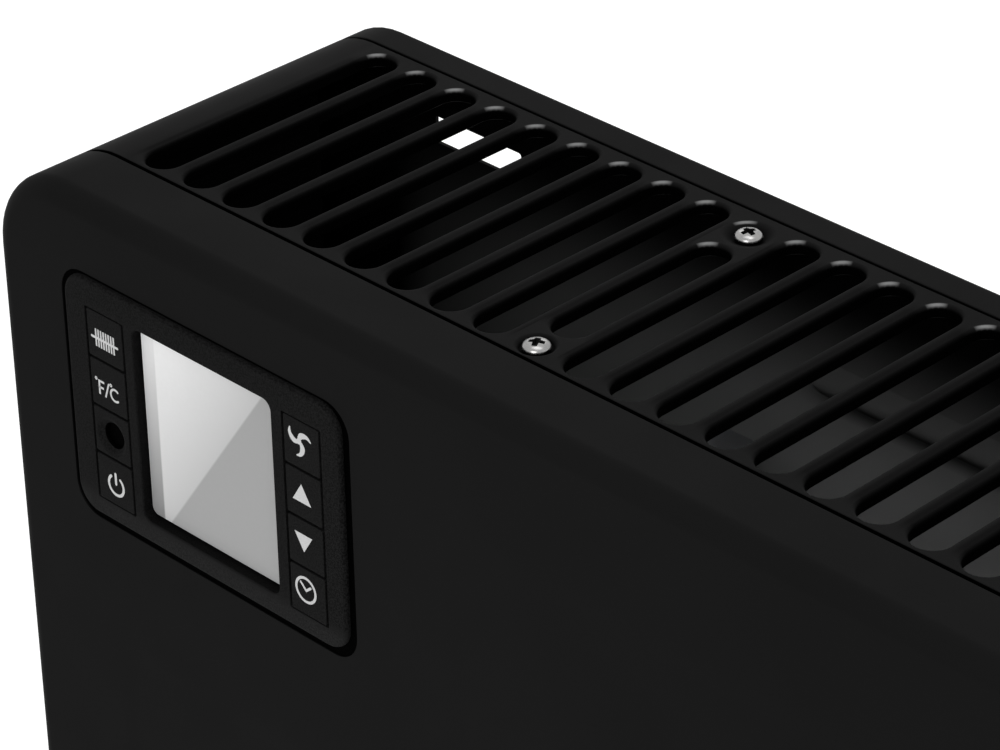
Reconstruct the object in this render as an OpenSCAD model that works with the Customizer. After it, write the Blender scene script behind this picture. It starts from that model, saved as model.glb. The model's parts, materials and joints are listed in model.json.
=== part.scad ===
// Convector heater with a slotted top grille, a control panel with a display, and a turbo fan.
// Millimetres. X runs along the casing, the front faces -Y, Z is up and the feet stand on Z = 0.

/* [Casing] */
// Width of the casing
casing_w = 634; // [600:2:700]
// Height of the casing
casing_h = 385; // [370:1:460]
// Clear height under the casing
floor_gap = 42; // [36:1:60]
// Depth of the front cover
front_depth = 19.5; // [18:0.5:24]
// Depth of the wrap that carries the grille
wrap_depth = 78.5; // [74:0.5:90]
// Depth of the rear cover
rear_depth = 9.5; // [9:0.5:14]
// Radius of the casing's corners, seen from the front
corner_r = 22; // [18:0.5:26]
// Outer radius of the bend around the front face
front_bend_r = 5; // [3:0.5:8]
// Outer radius of the bend around the back face
rear_bend_r = 4; // [3:0.5:6]
// Thickness of the casing's sheet steel
sheet_t = 1; // [0.8:0.1:1.2]
// Visible gap between the casing's parts
seam = 0.5; // [0.3:0.1:0.8]
// Length of the lip that runs under the front cover's edge
front_lip = 8; // [5:0.5:10]
// Length of the lip that runs under the rear cover's edge
rear_lip = 4; // [3:0.5:4.5]

/* [Front pressing] */
// Depth of the pressed field in the front face
press_depth = 1.2; // [0.8:0.1:2]
// Distance of the pressed field from the casing's sides
press_side = 37; // [32:1:45]
// Distance of the pressed field from the casing's bottom
press_bottom = 34; // [28:1:50]
// Distance of the field's high part from the casing's top
press_top = 35; // [30:1:45]
// Distance of the field's low part from the casing's top
press_step = 116; // [95:1:130]
// Gap between the control panel and the field's high part
press_clear = 31; // [20:1:40]
// Corner radius of the pressed field
press_r = 9; // [6:1:14]

/* [Grille] */
// Spacing of the slots
slot_pitch = 13; // [12.6:0.1:14]
// Clear width of a slot
slot_w = 9; // [7:0.1:9.2]
// Radius of the rolled lip around a slot
lip_r = 1.6; // [1.2:0.1:1.7]
// Depth of a lip below the top face
lip_h = 3; // [2:0.1:4]
// Width of the lip's root in the flat sheet
lip_root = 0.3; // [0.1:0.1:0.35]
// Least flat sheet between the corner bend and the first slot
slot_side = 2.5; // [1:0.5:8]
// Flat sheet in front of the slots
slot_front = 0.9; // [0.6:0.1:2]
// Flat sheet behind the slots
slot_back = 2.7; // [2:0.1:5]
// Slots between one pair of grille screws and the next
screw_step = 13; // [8:1:16]
// Distance of the front grille screws from the front seam
screw_front = 5.5; // [5:0.1:7]
// Distance of the rear grille screws from the rear seam
screw_back = 8.7; // [6:0.1:12]
// Flat sheet between a grille screw and its shortened slot
screw_clear = 8; // [6.5:0.5:10]
// Radius of the dimple that a grille screw sits in
dimple_r = 4.2; // [3.8:0.1:5]
// Depth of the dimple
dimple_h = 0.9; // [0.5:0.1:1.2]

/* [Screws] */
// Thread radius of the small screws
m3_r = 1.5; // [1.25:0.05:1.7]
// Head radius of the small screws
m3_head_r = 2.9; // [2.5:0.1:3.4]
// Head height of the small screws
m3_head_h = 1.9; // [1.4:0.1:2.4]
// Length of the grille screws under the head
grille_screw_l = 8; // [6:1:12]
// Thread radius of the foot screws
foot_screw_r = 2; // [1.8:0.1:2.5]
// Length of the foot screws under the head
foot_screw_l = 12; // [9:1:20]
// Gap around a screw in its clearance hole
screw_gap = 0.2; // [0.1:0.05:0.4]
// Sheet beside the dimple on a screw tab
tab_margin = 2.5; // [2:0.5:5]
// Gap between a screw tab and the dimple over it
tab_gap = 0.1; // [0.05:0.05:0.3]
// Gap between the wrap's lip and the root of a screw tab
root_gap = 0.5; // [0.3:0.1:2]
// Head radius of the foot screws
foot_head_r = 4; // [3.5:0.1:4.8]
// Head height of the foot screws
foot_head_h = 2.4; // [2:0.1:3]
// Length of a cross recess, as a share of the head's diameter
cross_l = 0.55; // [0.4:0.05:0.7]
// Width of a cross recess, as a share of the head's diameter
cross_w = 0.11; // [0.08:0.01:0.16]
// Height of a cross recess's floor, as a share of the head's height
cross_z = 0.45; // [0.2:0.05:0.6]

/* [Control panel] */
// Width of the control panel's face
panel_w = 91.5; // [90:0.5:96]
// Height of the control panel's face
panel_h = 62.7; // [60:0.1:66]
// Distance of the panel's left edge from the casing's side
panel_side = 25.3; // [24:0.1:30]
// Distance of the panel's top edge from the casing's top
panel_top = 17.5; // [15:0.1:24]
// Corner radius of the panel's face
panel_r = 6.5; // [4:0.5:8]
// How far the panel's face stands out of the front cover
panel_proud = 0.9; // [0.4:0.1:2]
// Thickness of the panel's face
panel_t = 2; // [1.8:0.1:2.5]
// Depth of the panel's housing behind the face
panel_depth = 11; // [10:0.5:14]
// Dark rim beside the face, on the left and at the top
rim_slim = 0.5; // [0.4:0.1:1]
// Dark rim beside the face, on the right and at the bottom
rim_wide = 2; // [1:0.1:3]
// Gap between the rim and the front cover's window
window_gap = 0.3; // [0.2:0.1:0.6]
// How far the dark rim stands behind the casing's front face
rim_back = 0.3; // [0.1:0.1:0.6]
// Thickness of the walls of the panel's housing
housing_t = 1.5; // [1.2:0.1:2]
// Width of the flange that seats the panel behind the front cover
seat_w = 2; // [1.5:0.1:3]
// Thickness of the flange that seats the panel
seat_t = 1; // [0.8:0.1:1.5]

/* [Display] */
// Width of the display's window
lcd_w = 44; // [38:0.5:45]
// Height of the display's window
lcd_h = 49.2; // [40:0.1:50]
// Distance of the display's window from the panel's left edge
lcd_side = 24.9; // [24.5:0.1:26]
// Distance of the display's window from the panel's top edge
lcd_top = 7.3; // [5:0.1:10]
// Depth of the display's glass below the panel's face
lcd_recess = 2.2; // [2:0.1:3]
// Thickness of the display module
lcd_t = 3.2; // [2.5:0.1:4]
// Corner radius of the display's window
lcd_r = 1.8; // [1:0.1:3]
// Width of the feet under the display module
lcd_foot_w = 4; // [3:0.5:6]
// Thickness of a circuit board
board_t = 1.6; // [1.2:0.1:2]
// Gap around the display board in the housing
board_gap = 0.5; // [0.3:0.1:0.8]
// Width of the plug strip on the display board
plug_w = 24; // [16:1:36]
// Height of the plug strip
plug_h = 6; // [4:0.5:8]
// Depth of the plug strip
plug_d = 7; // [5:0.5:9]
// Distance of the plug strip below the panel's centre
plug_drop = 17; // [12:1:20]

/* [Keys] */
// Width of the left keys
key_left_w = 13.1; // [11:0.1:13.4]
// Width of the right keys
key_right_w = 12.3; // [11:0.1:13]
// Height of a key with its gap
key_pitch = 12.5; // [11.5:0.1:13]
// Distance of the left keys from the panel's left edge
key_left_side = 7.1; // [6:0.1:8]
// Distance of the right keys from the panel's right edge
key_right_side = 7.4; // [6:0.1:8]
// Distance of the keys from the panel's top edge
key_top = 8.2; // [6:0.1:10]
// Gap around a key
key_gap = 0.35; // [0.3:0.05:0.5]
// Thickness of a key
key_t = 1.7; // [1.4:0.1:1.9]
// Travel of a key
key_travel = 0.6; // [0.3:0.1:0.8]
// Radius of a key's stem
key_stem_r = 1.8; // [1.4:0.1:2.2]
// Height of a push switch behind a key
switch_h = 4.3; // [3.8:0.1:5]
// Radius of the dished hole over the receiver
eye_r = 3.2; // [2.5:0.1:4]
// Depth of the dished hole over the receiver
eye_d = 1.5; // [1:0.1:1.6]
// How much the dished hole narrows
eye_taper = 1; // [0.4:0.1:1.4]
// Thickness of the tube behind the dished hole
eye_wall = 1.2; // [0.8:0.1:1.6]
// Width of the receiver
receiver_w = 6; // [5:0.5:8]
// Depth of the receiver
receiver_d = 4; // [3:0.5:5]
// Width of a key's side flange
key_flange = 0.9; // [0.6:0.1:1.2]
// Thickness of a key's side flange
key_flange_t = 1.2; // [0.8:0.1:1.6]
// Gap between a pressed key's stem and its switch
stem_gap = 0.05; // [0.05:0.05:0.2]
// Width of a push switch
switch_w = 6; // [5:0.5:7]
// Radius of a push switch's plunger
plunger_r = 1.7; // [1.2:0.1:2]
// Height of a push switch's plunger
plunger_h = 1; // [0.6:0.1:1.5]

/* [Heating] */
// Distance of the elements' axes from the casing's bottom
element_z = 108; // [100:1:125]
// Spacing of the two elements
element_gap = 36; // [34:1:40]
// Distance of the elements' left end from the casing's left side
element_side = 172; // [165:1:180]
// Distance of the elements' right end from the casing's right side
element_end = 62; // [60:1:80]
// Length of an element's arms from its axis
arm_l = 15; // [12:0.5:16]
// Thickness of the arms
arm_t = 2.6; // [2:0.1:4]
// Spacing of the ribs along an arm
rib_pitch = 3.6; // [3:0.1:5]
// Thickness of a rib
rib_t = 1.2; // [0.8:0.1:1.6]
// Height of a rib on each side of its arm
rib_h = 2; // [1:0.1:2.4]
// Radius of an element's core
core_r = 5; // [4:0.5:6]
// Number of fins cut into the arms
fins = 18; // [10:1:24]
// Width of the cuts between the fins
fin_cut = 1.6; // [1:0.1:3]
// Radius of an element's end pin
pin_r = 2.5; // [2:0.1:3]
// Length of an element's end pin beyond its insulator
pin_l = 4; // [3:0.5:8]
// Radius of the insulators in the end brackets
insulator_r = 5.5; // [5:0.1:7]
// Length of an insulator in and beyond its bracket
insulator_l = 6; // [5:0.5:9]
// Width of an insulator's collar
collar_w = 2.5; // [1.5:0.1:3]
// Gap between an element and its insulator
collar_gap = 0.5; // [0.3:0.1:1]
// Distance between an element and its end bracket
bracket_gap = 6; // [5:0.5:8]
// Thickness of an end bracket
bracket_t = 1.2; // [1:0.1:2]
// Height of an end bracket above the elements' axes
bracket_over = 26; // [22:1:32]
// Width of an end bracket beside the elements' axes
bracket_margin = 17; // [14:0.5:20]
// Length of an end bracket's foot
bracket_foot = 12; // [8:1:13]
// Corner radius of an end bracket
bracket_r = 5; // [3:0.5:8]
// Height of the opening in an end bracket
bracket_open_h = 40; // [30:1:50]
// Width of an end bracket's legs beside its opening
bracket_leg = 15; // [10:1:20]
// Distance of the opening's centre from the casing's bottom
bracket_open_z = 58; // [45:1:65]
// Height of the thermal cutout above the elements' axes
cutout_over = 60; // [50:1:80]
// Radius of the thermal cutout
cutout_r = 8; // [7:0.5:9]
// Height of the thermal cutout
cutout_h = 9; // [7:0.5:12]
// Width of the thermal cutout's mounting plate
cutout_plate_w = 14; // [12:0.5:15]
// Length of the thermal cutout's mounting plate
cutout_plate = 26; // [22:1:32]
// Width of a flat terminal
flat_terminal_w = 4.8; // [4.8:0.1:6.3]
// Length of a flat terminal
flat_terminal_l = 7; // [6:0.5:9]
// Thickness of a flat terminal
terminal_t = 0.8; // [0.5:0.1:1]

/* [Blower] */
// Radius of the blower's wheel
wheel_r = 18; // [14:0.5:20]
// Length of the blower's wheel
wheel_l = 180; // [150:5:200]
// Number of blades
blades = 20; // [12:1:28]
// Thickness of a blade
blade_t = 0.9; // [0.7:0.1:1.2]
// Depth of the ring of blades
blade_depth = 5; // [4:0.5:6]
// Inner radius of a blade's curve
blade_curve = 5.5; // [5:0.1:7]
// Thickness of the wheel's discs
disc_t = 1.2; // [0.8:0.1:2]
// Gap between the wheel and its scroll
wheel_gap = 2; // [1.5:0.1:4]
// Gap between the wheel and the scroll's end plates
wheel_end_gap = 3; // [2:0.5:5]
// Sheet thickness of the scroll
scroll_t = 1.2; // [0.8:0.1:1.6]
// Edge of the end plates around the scroll
plate_edge = 5; // [4:0.5:8]
// Angle over which the scroll's back wall bends round the wheel
scroll_wrap = 50; // [30:5:70]
// Height of the scroll's front wall above the axis
tongue_h = 6; // [3:0.5:9]
// Gap between the wheel and the scroll's front wall
tongue_gap = 6; // [5:0.5:7]
// Length of the flange under the scroll's back wall
scroll_foot = 8; // [5:0.5:10]
// Radius of the blower's shaft
shaft_r = 2.5; // [2:0.1:3]
// Radial running gap of the shaft in its bush
shaft_gap = 0.06; // [0.03:0.01:0.1]
// Length of the shaft beyond the bush and the motor
shaft_end = 3; // [2:0.5:6]
// Radial gap of the shaft where it passes through an end plate
shaft_pass = 1; // [0.5:0.1:2]
// Length of the bush
bush_t = 4; // [3:0.5:6]
// Wall of the bush
bush_wall = 3; // [2:0.5:4]
// Width of the bush's collar
bush_collar = 2; // [1:0.5:3]
// Distance of the blower's axis from the casing's bottom
blower_z = 34; // [28:1:40]
// Distance of the blower's left end from the casing's left side
blower_side = 235; // [225:1:260]
// Width and height of the motor's core
motor_w = 42; // [36:1:46]
// Corner radius of the motor's core and winding
motor_corner_r = 3; // [2:0.5:4]
// Thickness of the motor's core
motor_t = 16; // [12:1:20]
// Distance of the motor's core from the scroll
motor_gap = 4; // [4:0.5:8]
// Height of the motor's core above the shaft
motor_rise = 4; // [0:0.5:6]
// Radius of the motor's bearing housings
motor_hub_r = 11; // [8:0.5:13]
// Length of the motor's outer bearing housing
motor_hub_l = 9; // [6:0.5:12]
// Length of the motor's winding beyond its core
winding_l = 3.5; // [3:0.1:3.9]
// Width of the motor's winding
winding_w = 24; // [18:1:30]
// Height of the motor's winding
winding_h = 11; // [8:0.5:14]
// Height of the winding's centre above the shaft
winding_rise = 16; // [12:0.5:18]
// Radius of the motor's posts
post_r = 2; // [1.5:0.1:3]
// Distance of the motor's posts from the shaft, sideways
post_y = 15; // [12:0.5:17]
// Distance of the motor's posts from the shaft, upwards
post_z = 12; // [8:0.5:14]

/* [Tilt switch] */
// Distance of the tilt switch from the casing's side
tilt_side = 60; // [58:1:75]
// Height of the tilt switch's pivot over the bottom panel
tilt_z = 48; // [42:1:60]
// Length of the pendulum
tilt_l = 30; // [24:1:34]
// Width of the pendulum's rod
tilt_rod_w = 3; // [2:0.5:4]
// Depth of the pendulum's rod
tilt_rod_d = 6; // [4:0.5:8]
// Radius of the pendulum's weight
weight_r = 7; // [5:0.5:8]
// Depth of the pendulum's weight
weight_d = 12; // [8:1:16]
// Swing of the pendulum to each side
tilt_swing = 15; // [10:1:20]
// Radius of the pivot pin
tilt_pin_r = 1.5; // [1.2:0.1:2]
// Radial gap of the pendulum on its pin
tilt_gap = 0.06; // [0.03:0.01:0.1]
// Wall of the pendulum's hub
tilt_hub_wall = 2.4; // [1.6:0.1:3]
// Depth of the pendulum's hub
tilt_hub_d = 8; // [6:1:12]
// Clear width between the bracket's cheeks
tilt_bracket_w = 20; // [18:1:26]
// Thickness of the bracket's sheet
tilt_bracket_t = 1; // [0.8:0.1:1.5]
// Half width of a cheek
cheek_r = 6; // [5:0.5:7]
// Length of the bracket's foot beyond a cheek
tilt_foot = 8; // [6:0.5:10]
// Gap between the swung pendulum and its switch
tilt_stop = 0.5; // [0.3:0.1:1]
// Width of the switch that the pendulum works
tilt_switch_w = 6; // [5:0.5:8]
// Depth of the switch that the pendulum works
tilt_switch_d = 18; // [14:1:22]
// Height of the switch that the pendulum works
tilt_switch_h = 24; // [22:1:32]
// Length of the switch's foot
tilt_switch_foot = 5; // [4:0.5:8]

/* [Electronics] */
// Distance of the partition from the elements
partition_gap = 30; // [26:1:36]
// Distance of the partition's top from the casing's top
partition_top = 58; // [50:1:80]
// Length of the partition's flanges
partition_foot = 10; // [8:0.5:12]
// Width of the partition's hole for wires
wire_hole_w = 16; // [12:1:20]
// Height of the partition's hole for wires
wire_hole_h = 10; // [8:0.5:14]
// Distance of the hole for wires from the bottom panel
wire_hole_z = 30; // [20:1:40]
// Width of the power board
power_w = 92; // [84:1:96]
// Height of the power board
power_h = 70; // [64:1:80]
// Distance of the power board's centre from the casing's side
power_side = 76; // [70:1:80]
// Distance of the power board's centre from the casing's bottom
power_up = 150; // [120:1:180]
// Length of the power board's standoffs
standoff = 8; // [6:0.5:12]
// Radius of a standoff
standoff_r = 3; // [2.5:0.1:4]
// Distance of the standoffs from the power board's edges
standoff_in = 6; // [5:0.5:8]
// Radius of the holes in the power board
board_hole_r = 1.6; // [1.2:0.1:2]
// Width of a relay
relay_w = 19; // [15:0.5:20]
// Height of a relay
relay_h = 16; // [14:0.5:20]
// Depth of a relay
relay_d = 15; // [12:0.5:20]
// Spacing of the two relays
relay_pitch = 24; // [22:0.5:28]
// Distance of the relays above the board's centre
relay_rise = 16; // [14:0.5:18]
// Width of one way of the terminal block
way_w = 10; // [8:0.5:12]
// Number of ways of the terminal block
ways = 4; // [3:1:5]
// Height of the terminal block
terminal_h = 11; // [9:0.5:14]
// Depth of the terminal block
terminal_d = 10; // [8:0.5:14]
// Radius of the terminal block's screw holes
way_r = 2.2; // [1.8:0.1:3]
// Depth of the terminal block's screw holes
way_d = 6; // [4:0.5:7]
// Distance of the terminal block above the board's lower edge
terminal_up = 4; // [2:0.5:6]
// Width of the transformer
transformer_w = 24; // [20:0.5:26]
// Depth of the transformer
transformer_d = 20; // [16:0.5:24]
// Depth of the transformer's winding
coil_d = 4; // [3:0.5:6]
// Distance of the transformer's core around its winding
coil_in = 4; // [3:0.5:6]
// Distance of the room sensor from the casing's side
sensor_side = 50; // [48:1:70]
// Distance of the room sensor from the casing's middle plane
sensor_y = 18; // [14:1:24]
// Width of the room sensor's base
sensor_w = 8; // [6:0.5:10]
// Height of the room sensor's base
sensor_base_h = 6; // [4:0.5:8]
// Height of the room sensor's stem
sensor_stem_h = 8; // [6:0.5:12]
// Radius of the room sensor's bead
sensor_r = 2; // [1.5:0.1:2.5]

/* [Feet] */
// Length of a foot from front to back
foot_l = 210; // [180:2:240]
// Width of a foot
foot_w = 26; // [22:1:34]
// Corner radius of a foot's ends
foot_r = 9; // [6:0.5:10]
// Distance of a foot's centre from the casing's side
foot_side = 70; // [60:1:100]
// Thickness of a foot at its ends
foot_end_h = 13; // [10:1:18]
// Distance of a foot's body from the casing's faces
foot_in = 6; // [4:0.5:12]
// Length of a foot's solid ends beside its hollow
foot_web = 10; // [8:0.5:14]
// Height of the hollow under a foot
foot_hollow = 9.5; // [6:0.5:12]
// Thickness of a foot over a screw's head
foot_seat = 6; // [5:0.5:7]
// Distance of the foot screws from the middle
foot_screw_y = 26; // [20:1:32]
// Radial gap around a foot screw's head
foot_screw_room = 1; // [0.5:0.1:2]
// Thickness of a rubber pad
pad_h = 2.5; // [2:0.5:4]
// Radius of a rubber pad
pad_r = 9; // [7:0.5:10]
// Depth of a rubber pad's pocket
pad_sink = 1; // [0.5:0.1:1.5]
// Sheet of the foot beyond a rubber pad
pad_edge = 4; // [3:0.5:6]

/* [Bottom] */
// Distance of the bottom panel's ends from the corner bends
mouth_side = 20; // [16:1:24]
// Spacing of the intake slots
intake_pitch = 12; // [10:0.5:16]
// Width of an intake slot
intake_w = 5; // [4:0.5:6]
// Length of an intake slot
intake_l = 26; // [20:1:28]
// Distance of each row of intake slots from the middle plane
intake_row = 18; // [16:0.5:20]
// Corner radius of an intake slot
intake_r = 1.9; // [1:0.1:1.9]

/* [Rear] */
// Width of a wall-hanging slot
hang_w = 28.5; // [20:0.5:34]
// Height of a wall-hanging slot
hang_h = 7; // [5:0.5:9]
// Distance of a hanging slot's centre from the casing's side
hang_side = 47.5; // [42:0.5:80]
// Distance of a hanging slot's centre from the casing's top
hang_top = 22; // [18:0.5:32]
// Distance of the cord inlet from the casing's side
inlet_side = 46; // [40:1:60]
// Distance of the cord inlet from the casing's bottom
inlet_z = 40; // [34:1:60]
// Radius of the cord inlet's bore
inlet_r = 4.2; // [3.4:0.1:5]
// Wall of the cord inlet's bush
inlet_wall = 2; // [1.5:0.1:3]
// Width of the bush's collar outside
inlet_collar = 2.5; // [1.5:0.1:4]
// Thickness of the bush's collar outside
inlet_collar_t = 2.5; // [1.5:0.1:4]
// Width of the bush's clip inside
inlet_clip = 1.5; // [1:0.1:2]
// Length of the bush's clip inside
inlet_clip_l = 5; // [4:0.5:7]
// Number of louvres on each side
louvres = 12; // [8:1:16]
// Spacing of the louvres
louvre_pitch = 9; // [7:0.5:12]
// Width of a louvre
louvre_w = 4; // [4:0.1:5]
// Height of a louvre
louvre_h = 22; // [16:1:30]
// Corner radius of a louvre
louvre_r = 1.8; // [1:0.1:1.8]
// Distance of the louvres' centre from the casing's side
louvre_side = 150; // [130:1:170]
// Distance of the louvres' centre from the casing's bottom
louvre_z = 34; // [30:1:44]

/* [Hidden] */
$fn = 40;
// Overlap of faces that would only touch
eps = 0.01;
// How far a cutting shape runs past what it cuts
cut = 1;

// Planes of the casing
depth = front_depth + wrap_depth + rear_depth;
y_front = -depth / 2;
y_seam_front = y_front + front_depth;
y_seam_rear = y_seam_front + wrap_depth;
y_back = depth / 2;
y_mid = (y_seam_front + y_seam_rear) / 2;
z_bottom = floor_gap;
z_top = floor_gap + casing_h;
z_mid = (z_bottom + z_top) / 2;
x_side = casing_w / 2;
x_left = -x_side;
z_floor = z_bottom + 2 * sheet_t;
flat_x = x_side - corner_r;
flat_z = casing_h / 2 - corner_r;

// The grille
slot_hw = slot_w / 2;
slot_out = slot_hw + lip_r;
lip_step = 22.5;
slots = 1 + 2 * floor((flat_x - slot_side - slot_out) / slot_pitch);
slot_mid = (slots - 1) / 2;
y_slot0 = y_seam_front + slot_front;
y_slot1 = y_seam_rear - slot_back;
y_screw_front = y_seam_front + screw_front;
y_screw_rear = y_seam_rear - screw_back;
screw_xs = [for (k = [-1 : 1]) k * screw_step * slot_pitch];
tab_w = 2 * (dimple_r + tab_margin);
tab_z1 = z_top - dimple_h - sheet_t - tab_gap;
tab_reach = (dimple_r + screw_clear) / 2;

// The control panel
panel_x0 = x_left + panel_side;
panel_x1 = panel_x0 + panel_w;
panel_z1 = z_top - panel_top;
panel_z0 = panel_z1 - panel_h;
panel_x = (panel_x0 + panel_x1) / 2;
panel_z = (panel_z0 + panel_z1) / 2;
y_face = y_front - panel_proud;
y_rim = y_front + rim_back;
y_board = y_face + panel_depth;
lcd_x = panel_x0 + lcd_side + lcd_w / 2;
lcd_z = panel_z1 - lcd_top - lcd_h / 2;
y_glass = y_face + lcd_recess;
keys_z1 = panel_z1 - key_top;
key_rows = 4;
key_xs = [panel_x0 + key_left_side + key_left_w / 2, panel_x1 - key_right_side - key_right_w / 2];
key_ws = [key_left_w, key_right_w];
y_key_back = y_face + key_t;

// The pressed field
field_x1 = x_side - press_side;
field_z0 = z_bottom + press_bottom;
field_z1 = z_top - press_top;
field_z_step = z_top - press_step;
field_x_step = panel_x1 + press_clear;

// The heating elements
el_x0 = x_left + element_side;
el_x1 = x_side - element_end;
el_z = z_bottom + element_z;
el_ys = [y_mid - element_gap / 2, y_mid + element_gap / 2];
pin_reach = bracket_gap + insulator_l + pin_l;
bracket_w = element_gap + 2 * bracket_margin;
bracket_h = el_z - z_floor + bracket_over;

// The blower
bl_x0 = x_left + blower_side;
bl_z = z_bottom + blower_z;
scroll_r = wheel_r + wheel_gap;
bl_x1 = bl_x0 + wheel_l + 2 * wheel_end_gap;
motor_x = bl_x1 + scroll_t + motor_gap;
bush_r = shaft_r + bush_wall;

// The electronics bay
part_x = el_x0 - partition_gap;
power_x = x_left + power_side;
power_z = z_bottom + power_up;
y_power = y_back - sheet_t - standoff;
y_parts = y_power - board_t;
standoff_dx = power_w / 2 - standoff_in;
standoff_dz = power_h / 2 - standoff_in;
tilt_x = x_left + tilt_side;
tilt_pivot_z = z_floor + tilt_z;
tilt_reach = tilt_l * sin(tilt_swing) + weight_r;

// The feet and the bottom panel
foot_xs = [-(x_side - foot_side), x_side - foot_side];
foot_body = depth / 2 - foot_in;
pad_y = foot_l / 2 - pad_r - pad_edge;
mouth_x = flat_x - mouth_side;
intake_x0 = el_x0;
intake_x1 = foot_xs[1] - foot_w;
intakes = floor((intake_x1 - intake_x0) / intake_pitch);

// Radius of the sphere that domes a screw's head
function dome_r(head_r, head_h) = (head_r * head_r + head_h * head_h / 4) / head_h;
// Distance from a seam to the root of its screw tabs; dir points to the grille
function tab_root(dir) = (dir > 0 ? front_lip : rear_lip) + root_gap + sheet_t;
// Slots beside the grille screws are shortened
function is_screw_slot(k) = abs(k) % screw_step == 0 && abs(k) <= screw_step;
function slot_start(k) = is_screw_slot(k) ? y_screw_front + screw_clear : y_slot0;
function slot_end(k) = is_screw_slot(k) ? y_screw_rear - screw_clear : y_slot1;
// Height of a key's middle; row 0 is the top row
function key_z(row) = keys_z1 - (row + 0.5) * key_pitch;

// A rectangle with round corners, about the origin
module rrect(w, h, r) {
    square([w - 2 * r, h], center = true);
    square([w, h - 2 * r], center = true);
    for (sx = [-1, 1], sz = [-1, 1])
        translate([sx * (w / 2 - r), sz * (h / 2 - r)]) circle(r);
}

// Extrudes an outline drawn in X and Z from y0 to y1
module slab_y(y0, y1) {
    translate([0, y1, 0]) rotate([90, 0, 0]) linear_extrude(y1 - y0) children();
}

// Extrudes an outline drawn in Y and Z from x0 to x1
module slab_x(x0, x1) {
    translate([x0, 0, 0]) rotate([90, 0, 90]) linear_extrude(x1 - x0) children();
}

// A box given by its two corners
module block(p0, p1) {
    translate(p0) cube(p1 - p0);
}

// A round rod along Y
module rod_y(x, z, r, y0, y1) {
    translate([x, y1, z]) rotate([90, 0, 0]) cylinder(r = r, h = y1 - y0);
}

// A round rod along X
module rod_x(y, z, r, x0, x1) {
    translate([x0, y, z]) rotate([0, 90, 0]) cylinder(r = r, h = x1 - x0);
}

// The casing's outline from the front, moved inwards
module outline(inset) {
    translate([0, z_mid])
        rrect(casing_w - 2 * inset, casing_h - 2 * inset, corner_r - inset);
}

module ring(inset0, inset1) {
    difference() {
        outline(inset0);
        outline(inset1);
    }
}

// The section of a pan's bent edge, about the bend's centre: x runs backwards, y outwards
module edge_profile(face_w, bend_r, flange) {
    intersection() {
        difference() {
            circle(bend_r);
            circle(bend_r - sheet_t);
        }
        translate([-bend_r, 0]) square(bend_r);
    }
    translate([-bend_r, -face_w]) square([sheet_t, face_w]);
    translate([0, bend_r - sheet_t]) square([flange, sheet_t]);
}

// A shallow pressed pan with its face at y = 0 and its flange towards +y; children cut the face
module pan(pan_depth, bend_r) {
    flange = pan_depth - bend_r;
    slab_y(0, sheet_t) difference() {
        outline(bend_r + sheet_t);
        children();
    }
    translate([0, bend_r, z_mid]) {
        for (side = [0, 1]) {
            mirror([0, 0, side]) translate([0, 0, casing_h / 2 - bend_r])
                slab_x(-flat_x, flat_x) edge_profile(2 * sheet_t, bend_r, flange);
            mirror([side, 0, 0]) translate([x_side - bend_r, 0, -flat_z])
                linear_extrude(2 * flat_z) mirror([1, 0]) rotate(90)
                    edge_profile(2 * sheet_t, bend_r, flange);
        }
        for (sx = [0, 1], sz = [0, 1])
            mirror([sx, 0, 0]) mirror([0, 0, sz])
                translate([flat_x, 0, flat_z]) rotate([90, 0, 0]) rotate_extrude(angle = 90)
                    translate([corner_r - bend_r, 0]) rotate(-90)
                        edge_profile(corner_r - bend_r, bend_r, flange);
    }
}

// The pressed field, which steps down around the control panel
module field(inset) {
    low_h = field_z_step - field_z0;
    high_w = field_x1 - field_x_step;
    r = press_r - inset;
    translate([0, field_z0 + low_h / 2])
        rrect(2 * field_x1 - 2 * inset, low_h - 2 * inset, r);
    translate([field_x_step + high_w / 2, (field_z0 + field_z1) / 2])
        rrect(high_w - 2 * inset, field_z1 - field_z0 - 2 * inset, r);
    // the inner corner's fillet
    fillet = press_r + inset;
    translate([field_x_step + inset, field_z_step - inset]) difference() {
        translate([-fillet, -eps]) square([fillet + eps, fillet + eps]);
        translate([-fillet, fillet]) circle(fillet);
    }
}

// The control panel's face, or its rim, as an outline in X and Z
module panel_outline(slim, wide, r) {
    w = panel_w + slim + wide;
    h = panel_h + slim + wide;
    translate([panel_x + (wide - slim) / 2, panel_z - (wide - slim) / 2]) rrect(w, h, r);
}

module rim_outline(gap) {
    panel_outline(rim_slim + gap, rim_wide + gap, panel_r + rim_slim + gap);
}

// A tab under the grille that a screw at (x, y) threads into; dir points from the seam to the grille
module screw_tab(x, y, y_seam, dir) {
    y_in = y + dir * tab_reach;
    y_root = y_seam - dir * tab_root(dir);
    x0 = x - tab_w / 2;
    x1 = x + tab_w / 2;
    difference() {
        union() {
            block([x0, min(y_in, y_root), tab_z1 - sheet_t], [x1, max(y_in, y_root), tab_z1]);
            block([x0, min(y_root, y_root + dir * sheet_t), tab_z1 - sheet_t],
                [x1, max(y_root, y_root + dir * sheet_t), z_top - sheet_t / 2]);
        }
        translate([x, y, tab_z1 - sheet_t - cut]) cylinder(r = m3_r, h = sheet_t + 2 * cut);
    }
}

module front_cover() color([0.10, 0.10, 0.11]) {
    translate([0, y_front, 0]) pan(front_depth - seam / 2, front_bend_r) {
        field(sheet_t);
        rim_outline(window_gap);
    }
    // the pressed field's wall and floor
    slab_y(y_front + sheet_t / 2, y_front + press_depth + sheet_t) difference() {
        field(0);
        field(sheet_t);
    }
    slab_y(y_front + press_depth, y_front + press_depth + sheet_t) field(sheet_t / 2);
    for (x = screw_xs) screw_tab(x, y_screw_front, y_seam_front, 1);
}

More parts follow.
